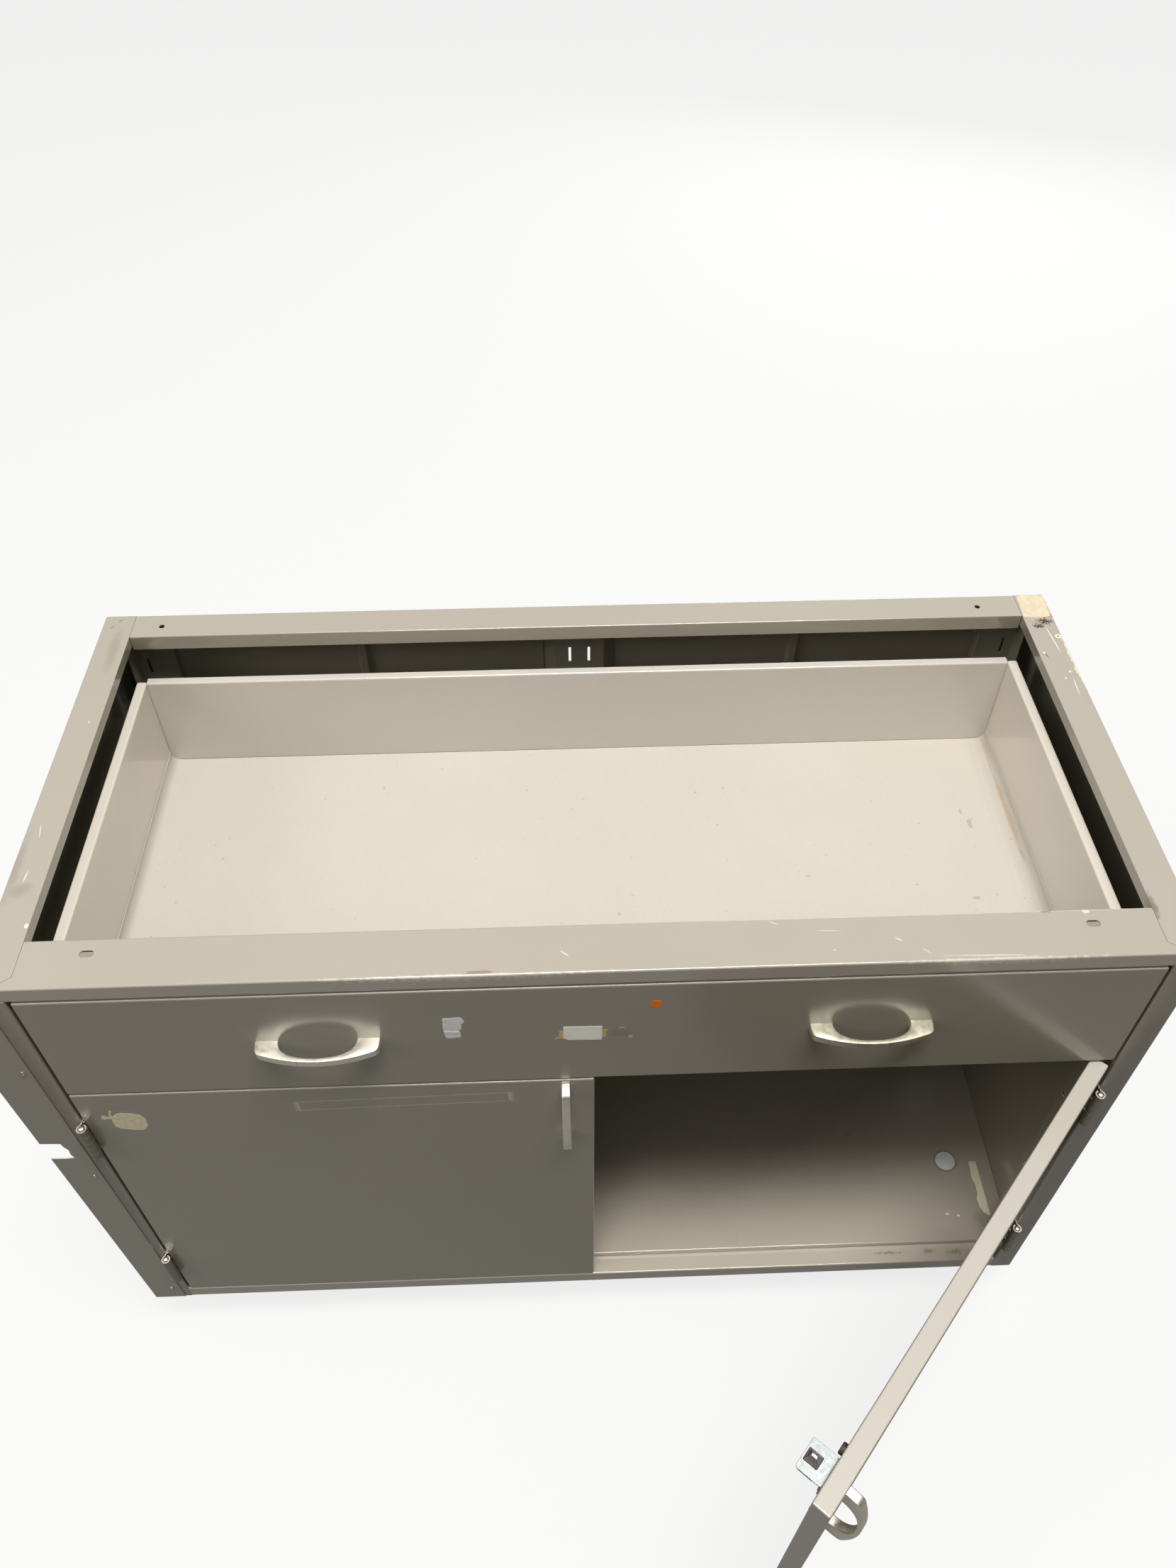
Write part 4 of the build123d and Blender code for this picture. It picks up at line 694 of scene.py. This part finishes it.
pull_bright = metal("pull aluminium", linear(244, 239, 226), 0.36, 0.05, 70.0, pull_shine)
pull_dull = metal("stained pull aluminium", linear(222, 218, 200), 0.38, 0.15, 110.0, pull_stains)
for side, cover in (("left", pull_bright), ("right", pull_dull)):
    low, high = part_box(f"drawer_pull_{side}")
    seat = ((low[0] + high[0]) / 2, high[1], (low[2] + high[2]) / 2)
    skin = set_down([pull_skin()], seat, (1, 0, 0), (0, -1, 0), (0, 0, 1))
    make(f"drawer_arch_pull_{side}", skin, cover, "drawer", "pull_aluminium", f"drawer_pull_{side}")

# Both doors hang from their pins; wide runs from the pin across the door, deep runs inwards.
HUNG = {}
for joint in frame["joints"]:
    if joint["child"] in ("door_left", "door_right"):
        hand = 1.0 if joint["child"] == "door_left" else -1.0
        ajar = math.radians(-joint["range_deg"][0])
        HUNG[joint["child"][5:]] = (
            Vector((joint["pos_m"][0], joint["pos_m"][1], 0.0)),
            Vector((hand * math.cos(ajar), -math.sin(ajar), 0.0)),
            Vector((hand * math.sin(ajar), math.cos(ajar), 0.0)),
        )
PIN_LEFT = HUNG["left"][0]
pull_low, pull_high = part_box("door_left_pull")
pull_wide = (pull_low[0] + pull_high[0]) / 2 - PIN_LEFT.x
pull_deep = pull_high[1] - PIN_LEFT.y
pull_up = Vector((0, 0, (pull_low[2] + pull_high[2]) / 2))
for side, (pin, wide, deep) in HUNG.items():
    seat = pin + wide * pull_wide + deep * pull_deep + pull_up
    skin = set_down([pull_skin()], seat, (0, 0, 1), -deep, wide)
    make(f"door_arch_pull_{side}", skin, pull_bright, f"door_{side}", "pull_aluminium", f"door_{side}_pull")


# ---- hinges --------------------------------------------------------------------------------------
# Nickelled butt hinges of five knuckles. Each leaf is a flat strip that bends off into a curl round
# the pin; the leaves lie face to face in the gap beside the door, and the pin has low rounded ends.
def oblong(half_a, half_b, corner, steps=5):
    """Outline of a rounded oblong: a quarter circle at each of its four corners, in turn."""
    turn = np.linspace(0.0, math.pi / 2, steps) + np.array([[0.0], [0.5], [1.0], [1.5]]) * math.pi
    a = corner * np.cos(turn) + np.array([[1], [-1], [-1], [1]]) * (half_a - corner)
    b = corner * np.sin(turn) + np.array([[1], [1], [-1], [-1]]) * (half_b - corner)
    return np.stack((a.ravel(), b.ravel()), 1)


KNUCKLE_R, KNUCKLE_WALL, LEAF_WALL, LEAF_OFF = 5.75, 2.0, 1.2, 1.0
HINGE_HALF, KNUCKLE_GAP = 32.0, 0.22
KNUCKLE = (2 * HINGE_HALF - 4 * KNUCKLE_GAP) / 5
LEAF_FROM, DOOR_LEAF_TO, STILE_LEAF_TO = 7.4, 26.0, 43.0


def curl_skin(low, high, hand):
    """One knuckle between two heights: the middle line runs down beside the pin's plane, swings out on
    a cubic curve and circles the pin for 295 degrees; wall thickness grows from leaf to knuckle."""
    radius = KNUCKLE_R - KNUCKLE_WALL / 2
    first = math.radians(50)
    p0, p1 = np.array((LEAF_OFF, 8.4)), np.array((LEAF_OFF, 6.2))
    p3 = radius * np.array((math.sin(first), math.cos(first)))
    p2 = p3 - 1.6 * np.array((math.cos(first), -math.sin(first)))
    t = np.linspace(0, 1, 9)[:-1, None]
    inlet = (1 - t) ** 3 * p0 + 3 * t * (1 - t) ** 2 * p1 + 3 * t * t * (1 - t) * p2 + t ** 3 * p3
    wrap = np.linspace(first, math.radians(345), 44)
    middle = np.concatenate((inlet, radius * np.stack((np.sin(wrap), np.cos(wrap)), 1)))
    run = np.gradient(middle, axis=0)
    run /= np.hypot(run[:, 0], run[:, 1])[:, None]
    out = np.stack((-run[:, 1], run[:, 0]), 1)
    wall = np.interp(np.arange(len(middle)), (0, 8), (LEAF_WALL / 2, KNUCKLE_WALL / 2))[:, None]
    rings = []
    for height, shrink in ((low, 0.18), (low + 0.18, 0.0), (high - 0.18, 0.0), (high, 0.18)):
        outline = np.concatenate((middle + out * (wall - shrink), (middle - out * (wall - shrink))[::-1]))
        rings.append(np.column_stack((hand * outline[:, 0], outline[:, 1], np.full(len(outline), height))))
    return ringed(np.array(rings))


def leaf_skin(inner, depth, hand):
    """Flat leaf: a rounded oblong in the depth-height plane, swept through its wall with eased rims."""
    centre, half = (inner + depth) / 2, (depth - inner) / 2
    rings = []
    for off, shrink in ((0.4, 0.2), (0.6, 0.0), (1.4, 0.0), (1.6, 0.2)):
        outline = oblong(half - shrink, HINGE_HALF - shrink, 1.2)
        off = np.full(len(outline), hand * off)
        rings.append(np.column_stack((off, outline[:, 0] + centre, outline[:, 1])))
    return ringed(np.array(rings))


def lathed(profile, around=40):
    """Profile of (radius, height) pairs turned about the up axis."""
    turn = np.linspace(0, 2 * math.pi, around, endpoint=False)
    radius, height = np.array(profile, dtype=float).T
    return ringed(np.stack((
        radius[:, None] * np.cos(turn), radius[:, None] * np.sin(turn), height[:, None] + 0 * turn
    ), 2))


pins_low, pins_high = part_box("hinge_pins")
cap = 2.6
HINGE_HEIGHTS = (pins_high[2] - (HINGE_HALF + cap) / 1000, pins_low[2] + (HINGE_HALF + cap) / 1000)


def knuckles(which, hand):
    """Curls of the numbered knuckles, counted from the foot."""
    skins = []
    for number in which:
        low = -HINGE_HALF + number * (KNUCKLE + KNUCKLE_GAP)
        skins.append(curl_skin(low, low + KNUCKLE, hand))
    return skins


PIN_END = [(0.05, 33.6), (1.6, 33.45), (2.9, 33.0), (3.5, 32.3), (3.65, 31.4)]
pin_skin = lathed([(r, -z) for r, z in PIN_END] + PIN_END[::-1])
pins = []
for side, (pin, wide, deep) in HUNG.items():
    hand = 1.0 if side == "left" else -1.0
    swung, fixed = [], []
    for z in HINGE_HEIGHTS:
        spot = pin + Vector((0, 0, z))
        door_half = [leaf_skin(LEAF_FROM, DOOR_LEAF_TO, 1), *knuckles((1, 3), 1)]
        stile_half = [leaf_skin(LEAF_FROM, STILE_LEAF_TO, -1), *knuckles((0, 2, 4), -1)]
        swung += set_down(door_half, spot, wide, deep, (0, 0, 1))
        fixed += set_down(stile_half, spot, (hand, 0, 0), (0, 1, 0), (0, 0, 1))
        pins += set_down([pin_skin], spot, (1, 0, 0), (0, 1, 0), (0, 0, 1))
    for owner, skins, body in (("door", swung, f"door_{side}"), ("stile", fixed, "cabinet")):
        hinge = f"{owner}_{side}"
        make(f"{hinge}_curled_leaves", skins, hinge_nickel, body, "hinge_nickel", f"{hinge}_hinge_leaves")
make("rounded_hinge_pins", pins, hinge_nickel, "cabinet", "hinge_nickel", "hinge_pins")


# ---- catches -------------------------------------------------------------------------------------
# Zinc-plated angle on the back of each door's head. A chromed bolt with a hipped nose stands up
# through a square hole in it, and a small rubber stop sits beside it.
catch_low, catch_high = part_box("door_left_catch")
bolt_low, bolt_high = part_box("door_left_bolt")
stop_low, stop_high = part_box("door_left_bumper")


def hollow(outer, inner, low, high, ease=0.25):
    """Oblong block with an oblong hole: a loop of rings over the outside and back down the hole."""
    (oc, oa, ob, orad), (ic, ia, ib, irad) = outer, inner
    rings = []
    for centre, a, b, r, shrink, z in (
        (oc, oa, ob, orad, ease, low), (oc, oa, ob, orad, 0.0, low + ease),
        (oc, oa, ob, orad, 0.0, high - ease), (oc, oa, ob, orad, ease, high),
        (ic, ia, ib, irad, -ease, high), (ic, ia, ib, irad, 0.0, high - ease), (ic, ia, ib, irad, 0.0, low),
    ):
        outline = oblong(a - shrink, b - shrink, r) + np.asarray(centre)
        rings.append(np.column_stack((outline, np.full(len(outline), z))))
    return ringed(np.array(rings), looped=True)


def screw_head(radius, height):
    """Domed head on a polar grid: height falls with the square of the distance from the middle, less a
    cross-shaped recess; the rim turns down to the seat."""
    turn = np.linspace(0, 2 * math.pi, 48, endpoint=False)
    reach = np.append(np.linspace(0.02, 1.0, 16) * radius, radius)[:, None]
    x, y = reach * np.cos(turn), reach * np.sin(turn)
    thin, long = np.minimum(abs(x), abs(y)), np.maximum(abs(x), abs(y))
    slot = np.clip((0.16 * radius - thin) / (0.05 * radius), 0, 1)
    slot = slot * np.clip((0.62 * radius - long) / (0.1 * radius), 0, 1)
    z = height * (1 - 0.55 * (reach / radius) ** 2) - 0.5 * height * slot
    z[-1] = 0.0
    return ringed(np.stack((x, y, z), 2))


# Millimetres from the hinge pin: u across the door, w into it.
PLATE_HALF, PLATE_WALL, FLANGE_DROP = 15.5, 1.6, 24.5
u_catch = ((catch_low[0] + catch_high[0]) / 2 - PIN_LEFT.x) * 1000
w_catch = ((catch_low[1] + catch_high[1]) / 2 - PIN_LEFT.y) * 1000
w_seat = (catch_low[1] - PIN_LEFT.y) * 1000
u_bolt = ((bolt_low[0] + bolt_high[0]) / 2 - PIN_LEFT.x) * 1000
w_bolt = ((bolt_low[1] + bolt_high[1]) / 2 - PIN_LEFT.y) * 1000
plate_top = catch_high[2] * 1000
plate_foot = plate_top - FLANGE_DROP
guide_foot = catch_low[2] * 1000
catch_skins = [
    hollow(
        ((u_catch, w_catch), PLATE_HALF, 13.5, 2.6), ((u_bolt, w_bolt), 6.15, 7.15, 1.0),
        plate_top - PLATE_WALL, plate_top,
    ),
    hollow(
        ((u_bolt, w_bolt), 7.5, 8.5, 1.4), ((u_bolt, w_bolt), 6.1, 7.1, 0.9), guide_foot, plate_top - 0.2
    ),
]
flange = []
for deep_by, shrink in ((0.0, 0.2), (0.2, 0.0), (PLATE_WALL - 0.2, 0.0), (PLATE_WALL, 0.2)):
    outline = oblong(PLATE_HALF - shrink, (plate_top - plate_foot) / 2 - 0.2 - shrink, 2.4)
    outline = outline + (u_catch, (plate_top + plate_foot) / 2 - 0.2)
    flange.append(np.column_stack((outline[:, 0], np.full(len(outline), w_seat + deep_by), outline[:, 1])))
catch_skins.append(ringed(np.array(flange)))
head_points, head_faces = screw_head(3.0, 1.3)
for u in (u_catch - 11.3, u_catch + 11.3):
    catch_skins.append((head_points[:, [0, 2, 1]] + (u, w_seat + 1.55, plate_foot + 7.0), head_faces))

bolt_rings = []
bolt_foot, bolt_tip = bolt_low[2] * 1000, bolt_high[2] * 1000
for z, a, b, corner in (
    (bolt_foot, 5.75, 6.75, 1.1), (bolt_tip - 8.6, 5.75, 6.75, 1.1), (bolt_tip - 8.0, 5.55, 6.55, 1.0),
    (bolt_tip - 0.5, 2.1, 3.4, 0.5), (bolt_tip, 1.2, 2.6, 0.4),
):
    outline = oblong(a, b, corner) + (u_bolt, w_bolt)
    bolt_rings.append(np.column_stack((outline, np.full(len(outline), z))))
bolt_skin = ringed(np.array(bolt_rings))
stop_r = (stop_high[0] - stop_low[0]) * 500
stop_h = (stop_high[1] - stop_low[1]) * 1000
stop_points, stop_faces = lathed([
    (0.05, 0), (stop_r, 0), (stop_r, stop_h - 1.2), (stop_r - 0.35, stop_h - 0.35), (stop_r - 1.3, stop_h),
    (0.05, stop_h),
])
stop_at = (
    ((stop_low[0] + stop_high[0]) / 2 - PIN_LEFT.x) * 1000, (stop_low[1] - PIN_LEFT.y) * 1000,
    (stop_low[2] + stop_high[2]) * 500,
)
stop_skin = (stop_points[:, [0, 2, 1]] + stop_at, stop_faces)
for side, (pin, wide, deep) in HUNG.items():
    for name, skins, cover, body, slot in (
        ("catch", catch_skins, catch_zinc, f"door_{side}", "catch_zinc"),
        ("bolt", [bolt_skin], bolt_chrome, f"latch_bolt_{side}", "bolt_chrome"),
        ("bumper", [stop_skin], bumper_rubber, f"door_{side}", "bumper_rubber"),
    ):
        placed = set_down(skins, pin, wide, deep, (0, 0, 1))
        make(f"door_{side}_plated_{name}", placed, cover, body, slot, f"door_{side}_{name}", sharp=25.0)


# ---- plugs and screws ----------------------------------------------------------------------------
# Pressed steel plugs close the access holes over the levelling feet. Domed cross-head screws show
# on the stiles and hold the filler strip.
plugs_low, plugs_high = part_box("floor_plugs")
PLUG_R = 14.5
plug_profile = [
    (0.05, 1.75), (5.0, 1.65), (9.0, 1.35), (11.6, 1.0), (12.6, 1.05), (13.4, 1.3), (14.0, 1.1),
    (14.45, 0.5), (PLUG_R, 0.0), (12.0, -0.3), (11.5, -4.0), (0.05, -4.2),
]
plug_skins = []
for x in (plugs_low[0] + PLUG_R / 1000, plugs_high[0] - PLUG_R / 1000):
    for y in (plugs_low[1] + PLUG_R / 1000, plugs_high[1] - PLUG_R / 1000):
        spot = (x, y, plugs_high[2] - 0.0018)
        plug_skins += set_down([lathed(plug_profile, 56)], spot, (1, 0, 0), (0, 1, 0), (0, 0, 1))
make("pressed_floor_plugs", plug_skins, plug_steel, "cabinet", "plug_steel", "floor_plugs")

heads_low, heads_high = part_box("stile_screws")
stile_heads = []
for side in (-1, 1):
    x = heads_low[0] if side < 0 else heads_high[0]
    for z in (516.0, 333.0, 146.0):
        spot = (x, (heads_low[1] + heads_high[1]) / 2, z / 1000)
        stile_heads += set_down([screw_head(3.2, 1.7)], spot, (0, 0.8, 0.6), (0, -0.6, 0.8), (-side, 0, 0))
make("stile_screw_heads", stile_heads, screw_zinc, "cabinet", "screw_zinc", "stile_screws", sharp=30.0)
heads_low, heads_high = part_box("filler_screws")
filler_heads = []
for x, z in ((-592.3, 481.0), (-595.2, 720.0), (-589.6, 132.0)):
    spot = (x / 1000, heads_high[1], z / 1000)
    filler_heads += set_down([screw_head(3.2, 1.5)], spot, (0.9, 0, 0.44), (-0.44, 0, 0.9), (0, -1, 0))
make("filler_screw_heads", filler_heads, screw_zinc, "cabinet", "screw_zinc", "filler_screws", sharp=30.0)


# ---- tape, paper and stickers --------------------------------------------------------------------
# What users have stuck on over the years: a paper label held by amber tape, a torn scrap, an orange
# dot, the rag of an old label, and masking tape on a seat corner and on the cupboard's floor.
def paper(name, colour, roughness, mottle, scale):
    """Paper or tape: fibrous, cloudy and dirty at the rims of its fibres."""
    material, add = finish(name, colour, roughness)
    cloud = step(add, grain(add, scale, 5.0, 0.7), 0.35, 0.72, mottle)
    shade = tint(add, cloud, (*colour, 1.0), (*[c * 0.62 for c in colour], 1.0))
    fleck = step(add, grain(add, scale * 6, 3.0, 0.6), 0.60, 0.75, 0.4)
    add.join(tint(add, fleck, shade, (*[c * 0.5 for c in colour], 1.0)), "Base Color")
    fibre = grain(add, 900.0, 4.0)
    add.join(add("Bump", {"Height": fibre, "Strength": 0.25, "Distance": 0.0003}), "Normal")
    return material


def torn_sheet(outline, thick, torn, seed, every=1.2, lift=0.05):
    """Sheet inside an outline: the outline is resampled and torn by seeded jitter, and rings shrink
    from it to the middle; height is the sheet's thickness with a slight cockle."""
    corners = np.array(outline, dtype=float)
    sides = np.roll(corners, -1, 0) - corners
    length = np.hypot(sides[:, 0], sides[:, 1])
    travelled = np.concatenate(([0.0], np.cumsum(length)))
    at = np.linspace(0, travelled[-1], int(travelled[-1] / every), endpoint=False)
    closed = np.concatenate((corners, corners[:1]))
    edge = np.stack([np.interp(at, travelled, closed[:, k]) for k in (0, 1)], 1)
    rng = np.random.default_rng(seed)
    middle = edge.mean(0)
    shape = np.array([1.0, 1.0, 0.97, 0.8, 0.55, 0.3, 0.1])[:, None, None]
    height = np.array([0.0, 0.6, 1.0, 1.0, 1.0, 1.0, 1.0])[:, None] * thick
    edge = edge + rng.normal(0, torn, edge.shape)
    flat = middle + (edge - middle) * shape
    cockle = 0.06 * np.sin(flat[:, :, 0] * 0.55 + seed) * np.cos(flat[:, :, 1] * 0.4)
    height = height + lift + np.where(height > 0, cockle + 0.06, 0.0)
    return ringed(np.dstack((flat, height)))


def disc(radius_a, radius_b, count=48):
    turn = np.linspace(0, 2 * math.pi, count, endpoint=False)
    return np.stack((radius_a * np.cos(turn), radius_b * np.sin(turn)), 1)


front_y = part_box("drawer_front")[0][1]
UPRIGHT = ((0, front_y, 0), (1, 0, 0), (0, 0, 1), (0, -1, 0))
FLAT = ((1, 0, 0), (0, 1, 0), (0, 0, 1))


def stick(name, sheets, cover, body="drawer", seat=None):
    """Sheets stuck on the fronts, or on a level seat at a given height."""
    place = UPRIGHT if seat is None else ((0, 0, seat), *FLAT)
    make(name, set_down(sheets, *place), cover, body, "taupe_enamel")


label_white = paper("label paper", linear(252, 249, 240), 0.75, 0.25, 60.0)
amber_tape = paper("amber tape", linear(222, 184, 122), 0.35, 0.5, 150.0)
grey_tape = paper("worn tape", linear(236, 236, 236), 0.6, 0.4, 110.0)
orange_ink = paper("orange sticker", linear(252, 122, 4), 0.5, 0.16, 240.0)
old_paper = paper("old label paper", linear(234, 222, 190), 0.7, 0.55, 210.0)
cream_tape = paper("masking tape", linear(246, 239, 212), 0.65, 0.18, 120.0)

label = [(-33.4, 775.6), (6.3, 774.8), (6.0, 748.8), (-28.6, 749.8), (-33.7, 753.5)]
stick("paper_label", [torn_sheet(label, 0.15, 0.03, 1, lift=0.14)], label_white)
tape_left = [
    (-30, 767.2), (-37.7, 767.7), (-38.5, 757.2), (-43.0, 752.9), (-42.3, 751.0), (-37.8, 752.9),
    (-30, 752.3),
]
tape_right = [(3, 768.1), (12.1, 767.7), (9.8, 761.8), (11.4, 757.2), (8.8, 752.8), (3, 751.9)]
tapes = [torn_sheet(tape_left, 0.06, 0.15, 2), torn_sheet(tape_right, 0.06, 0.15, 3)]
stick("amber_tape_ends", tapes, amber_tape)
scrap = [
    (-154.3, 797.8), (-135.6, 799.2), (-132.3, 791.1), (-136.1, 785.4), (-136.2, 779.2), (-139.2, 773.8),
    (-137.8, 771.1), (-138.1, 761.8), (-146.6, 760.4), (-153.6, 761.2), (-155.0, 778.5),
]
fold = [(-154.6, 774.5), (-138.6, 772.6), (-139.0, 770.2), (-146, 767.8), (-154.2, 769.6)]
scraps = [torn_sheet(scrap, 0.1, 0.12, 4), torn_sheet(fold, 0.12, 0.1, 5, lift=0.2)]
stick("torn_tape_scrap", scraps, grey_tape)
dot = disc(5.9, 6.6) + (59.7, 812.3)
stick("orange_dot", [torn_sheet(dot, 0.08, 0.03, 6)], orange_ink)

remnant = [
    (-532.9, 620.1), (-526.3, 627.0), (-518.1, 628.5), (-500.9, 623.8), (-497.0, 614.6), (-498.2, 605.6),
    (-497.8, 599.5), (-502.0, 593.1), (-506.1, 588.5), (-514.6, 589.4), (-530.6, 594.2), (-534.3, 599.1),
    (-534.6, 608.2),
]
tails = [
    [(-531.0, 618.5), (-532.6, 624.5), (-528.8, 634.6), (-531.4, 635.3), (-535.4, 621.7), (-534.0, 617.5)],
    [
        (-532.0, 619.6), (-536.4, 620.6), (-542.0, 624.3), (-544.7, 617.9), (-541.9, 613.8), (-539.3, 617.4),
        (-532.5, 615.2),
    ],
]
rags = [torn_sheet(remnant, 0.08, 0.2, 7)] + [torn_sheet(tail, 0.06, 0.1, 8) for tail in tails]
stick("old_label_rag", rags, old_paper, "door_left")

aged_tape = paper("aged masking tape", linear(216, 204, 176), 0.65, 0.40, 150.0)
seat_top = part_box("side_right")[1][2]
corner_tape = [
    (562.1, 276.2), (570.0, 279.1), (596.4, 277.4), (595.2, 241.5), (594.2, 235.1), (577, 233.4),
    (560.3, 235.4), (561.4, 252.2),
]
stick("seat_corner_tape", [torn_sheet(corner_tape, 0.08, 0.12, 9)], aged_tape, "cabinet", seat_top)
floor_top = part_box("floor_panel")[1][2]
floor_tape = [
    (564.2, -139.8), (566.5, -137.9), (575.0, -138.5), (576.1, -219.9), (573.8, -221.1), (567.1, -215.6),
    (563.5, -207.7), (562.5, -195.8), (565.1, -188.0), (565.7, -174.6), (563.0, -163.8), (564.4, -146.1),
]
chips = [disc(2.4, 1.7, 24) + (513.8, -216.8), disc(2.2, 1.5, 24) + (529.4, -219.7)]
strips = [torn_sheet(floor_tape, 0.12, 0.15, 10)]
strips += [torn_sheet(chip, 0.2, 0.12, 11, every=0.8) for chip in chips]
stick("floor_tape_strip", strips, cream_tape, "cabinet", floor_top)
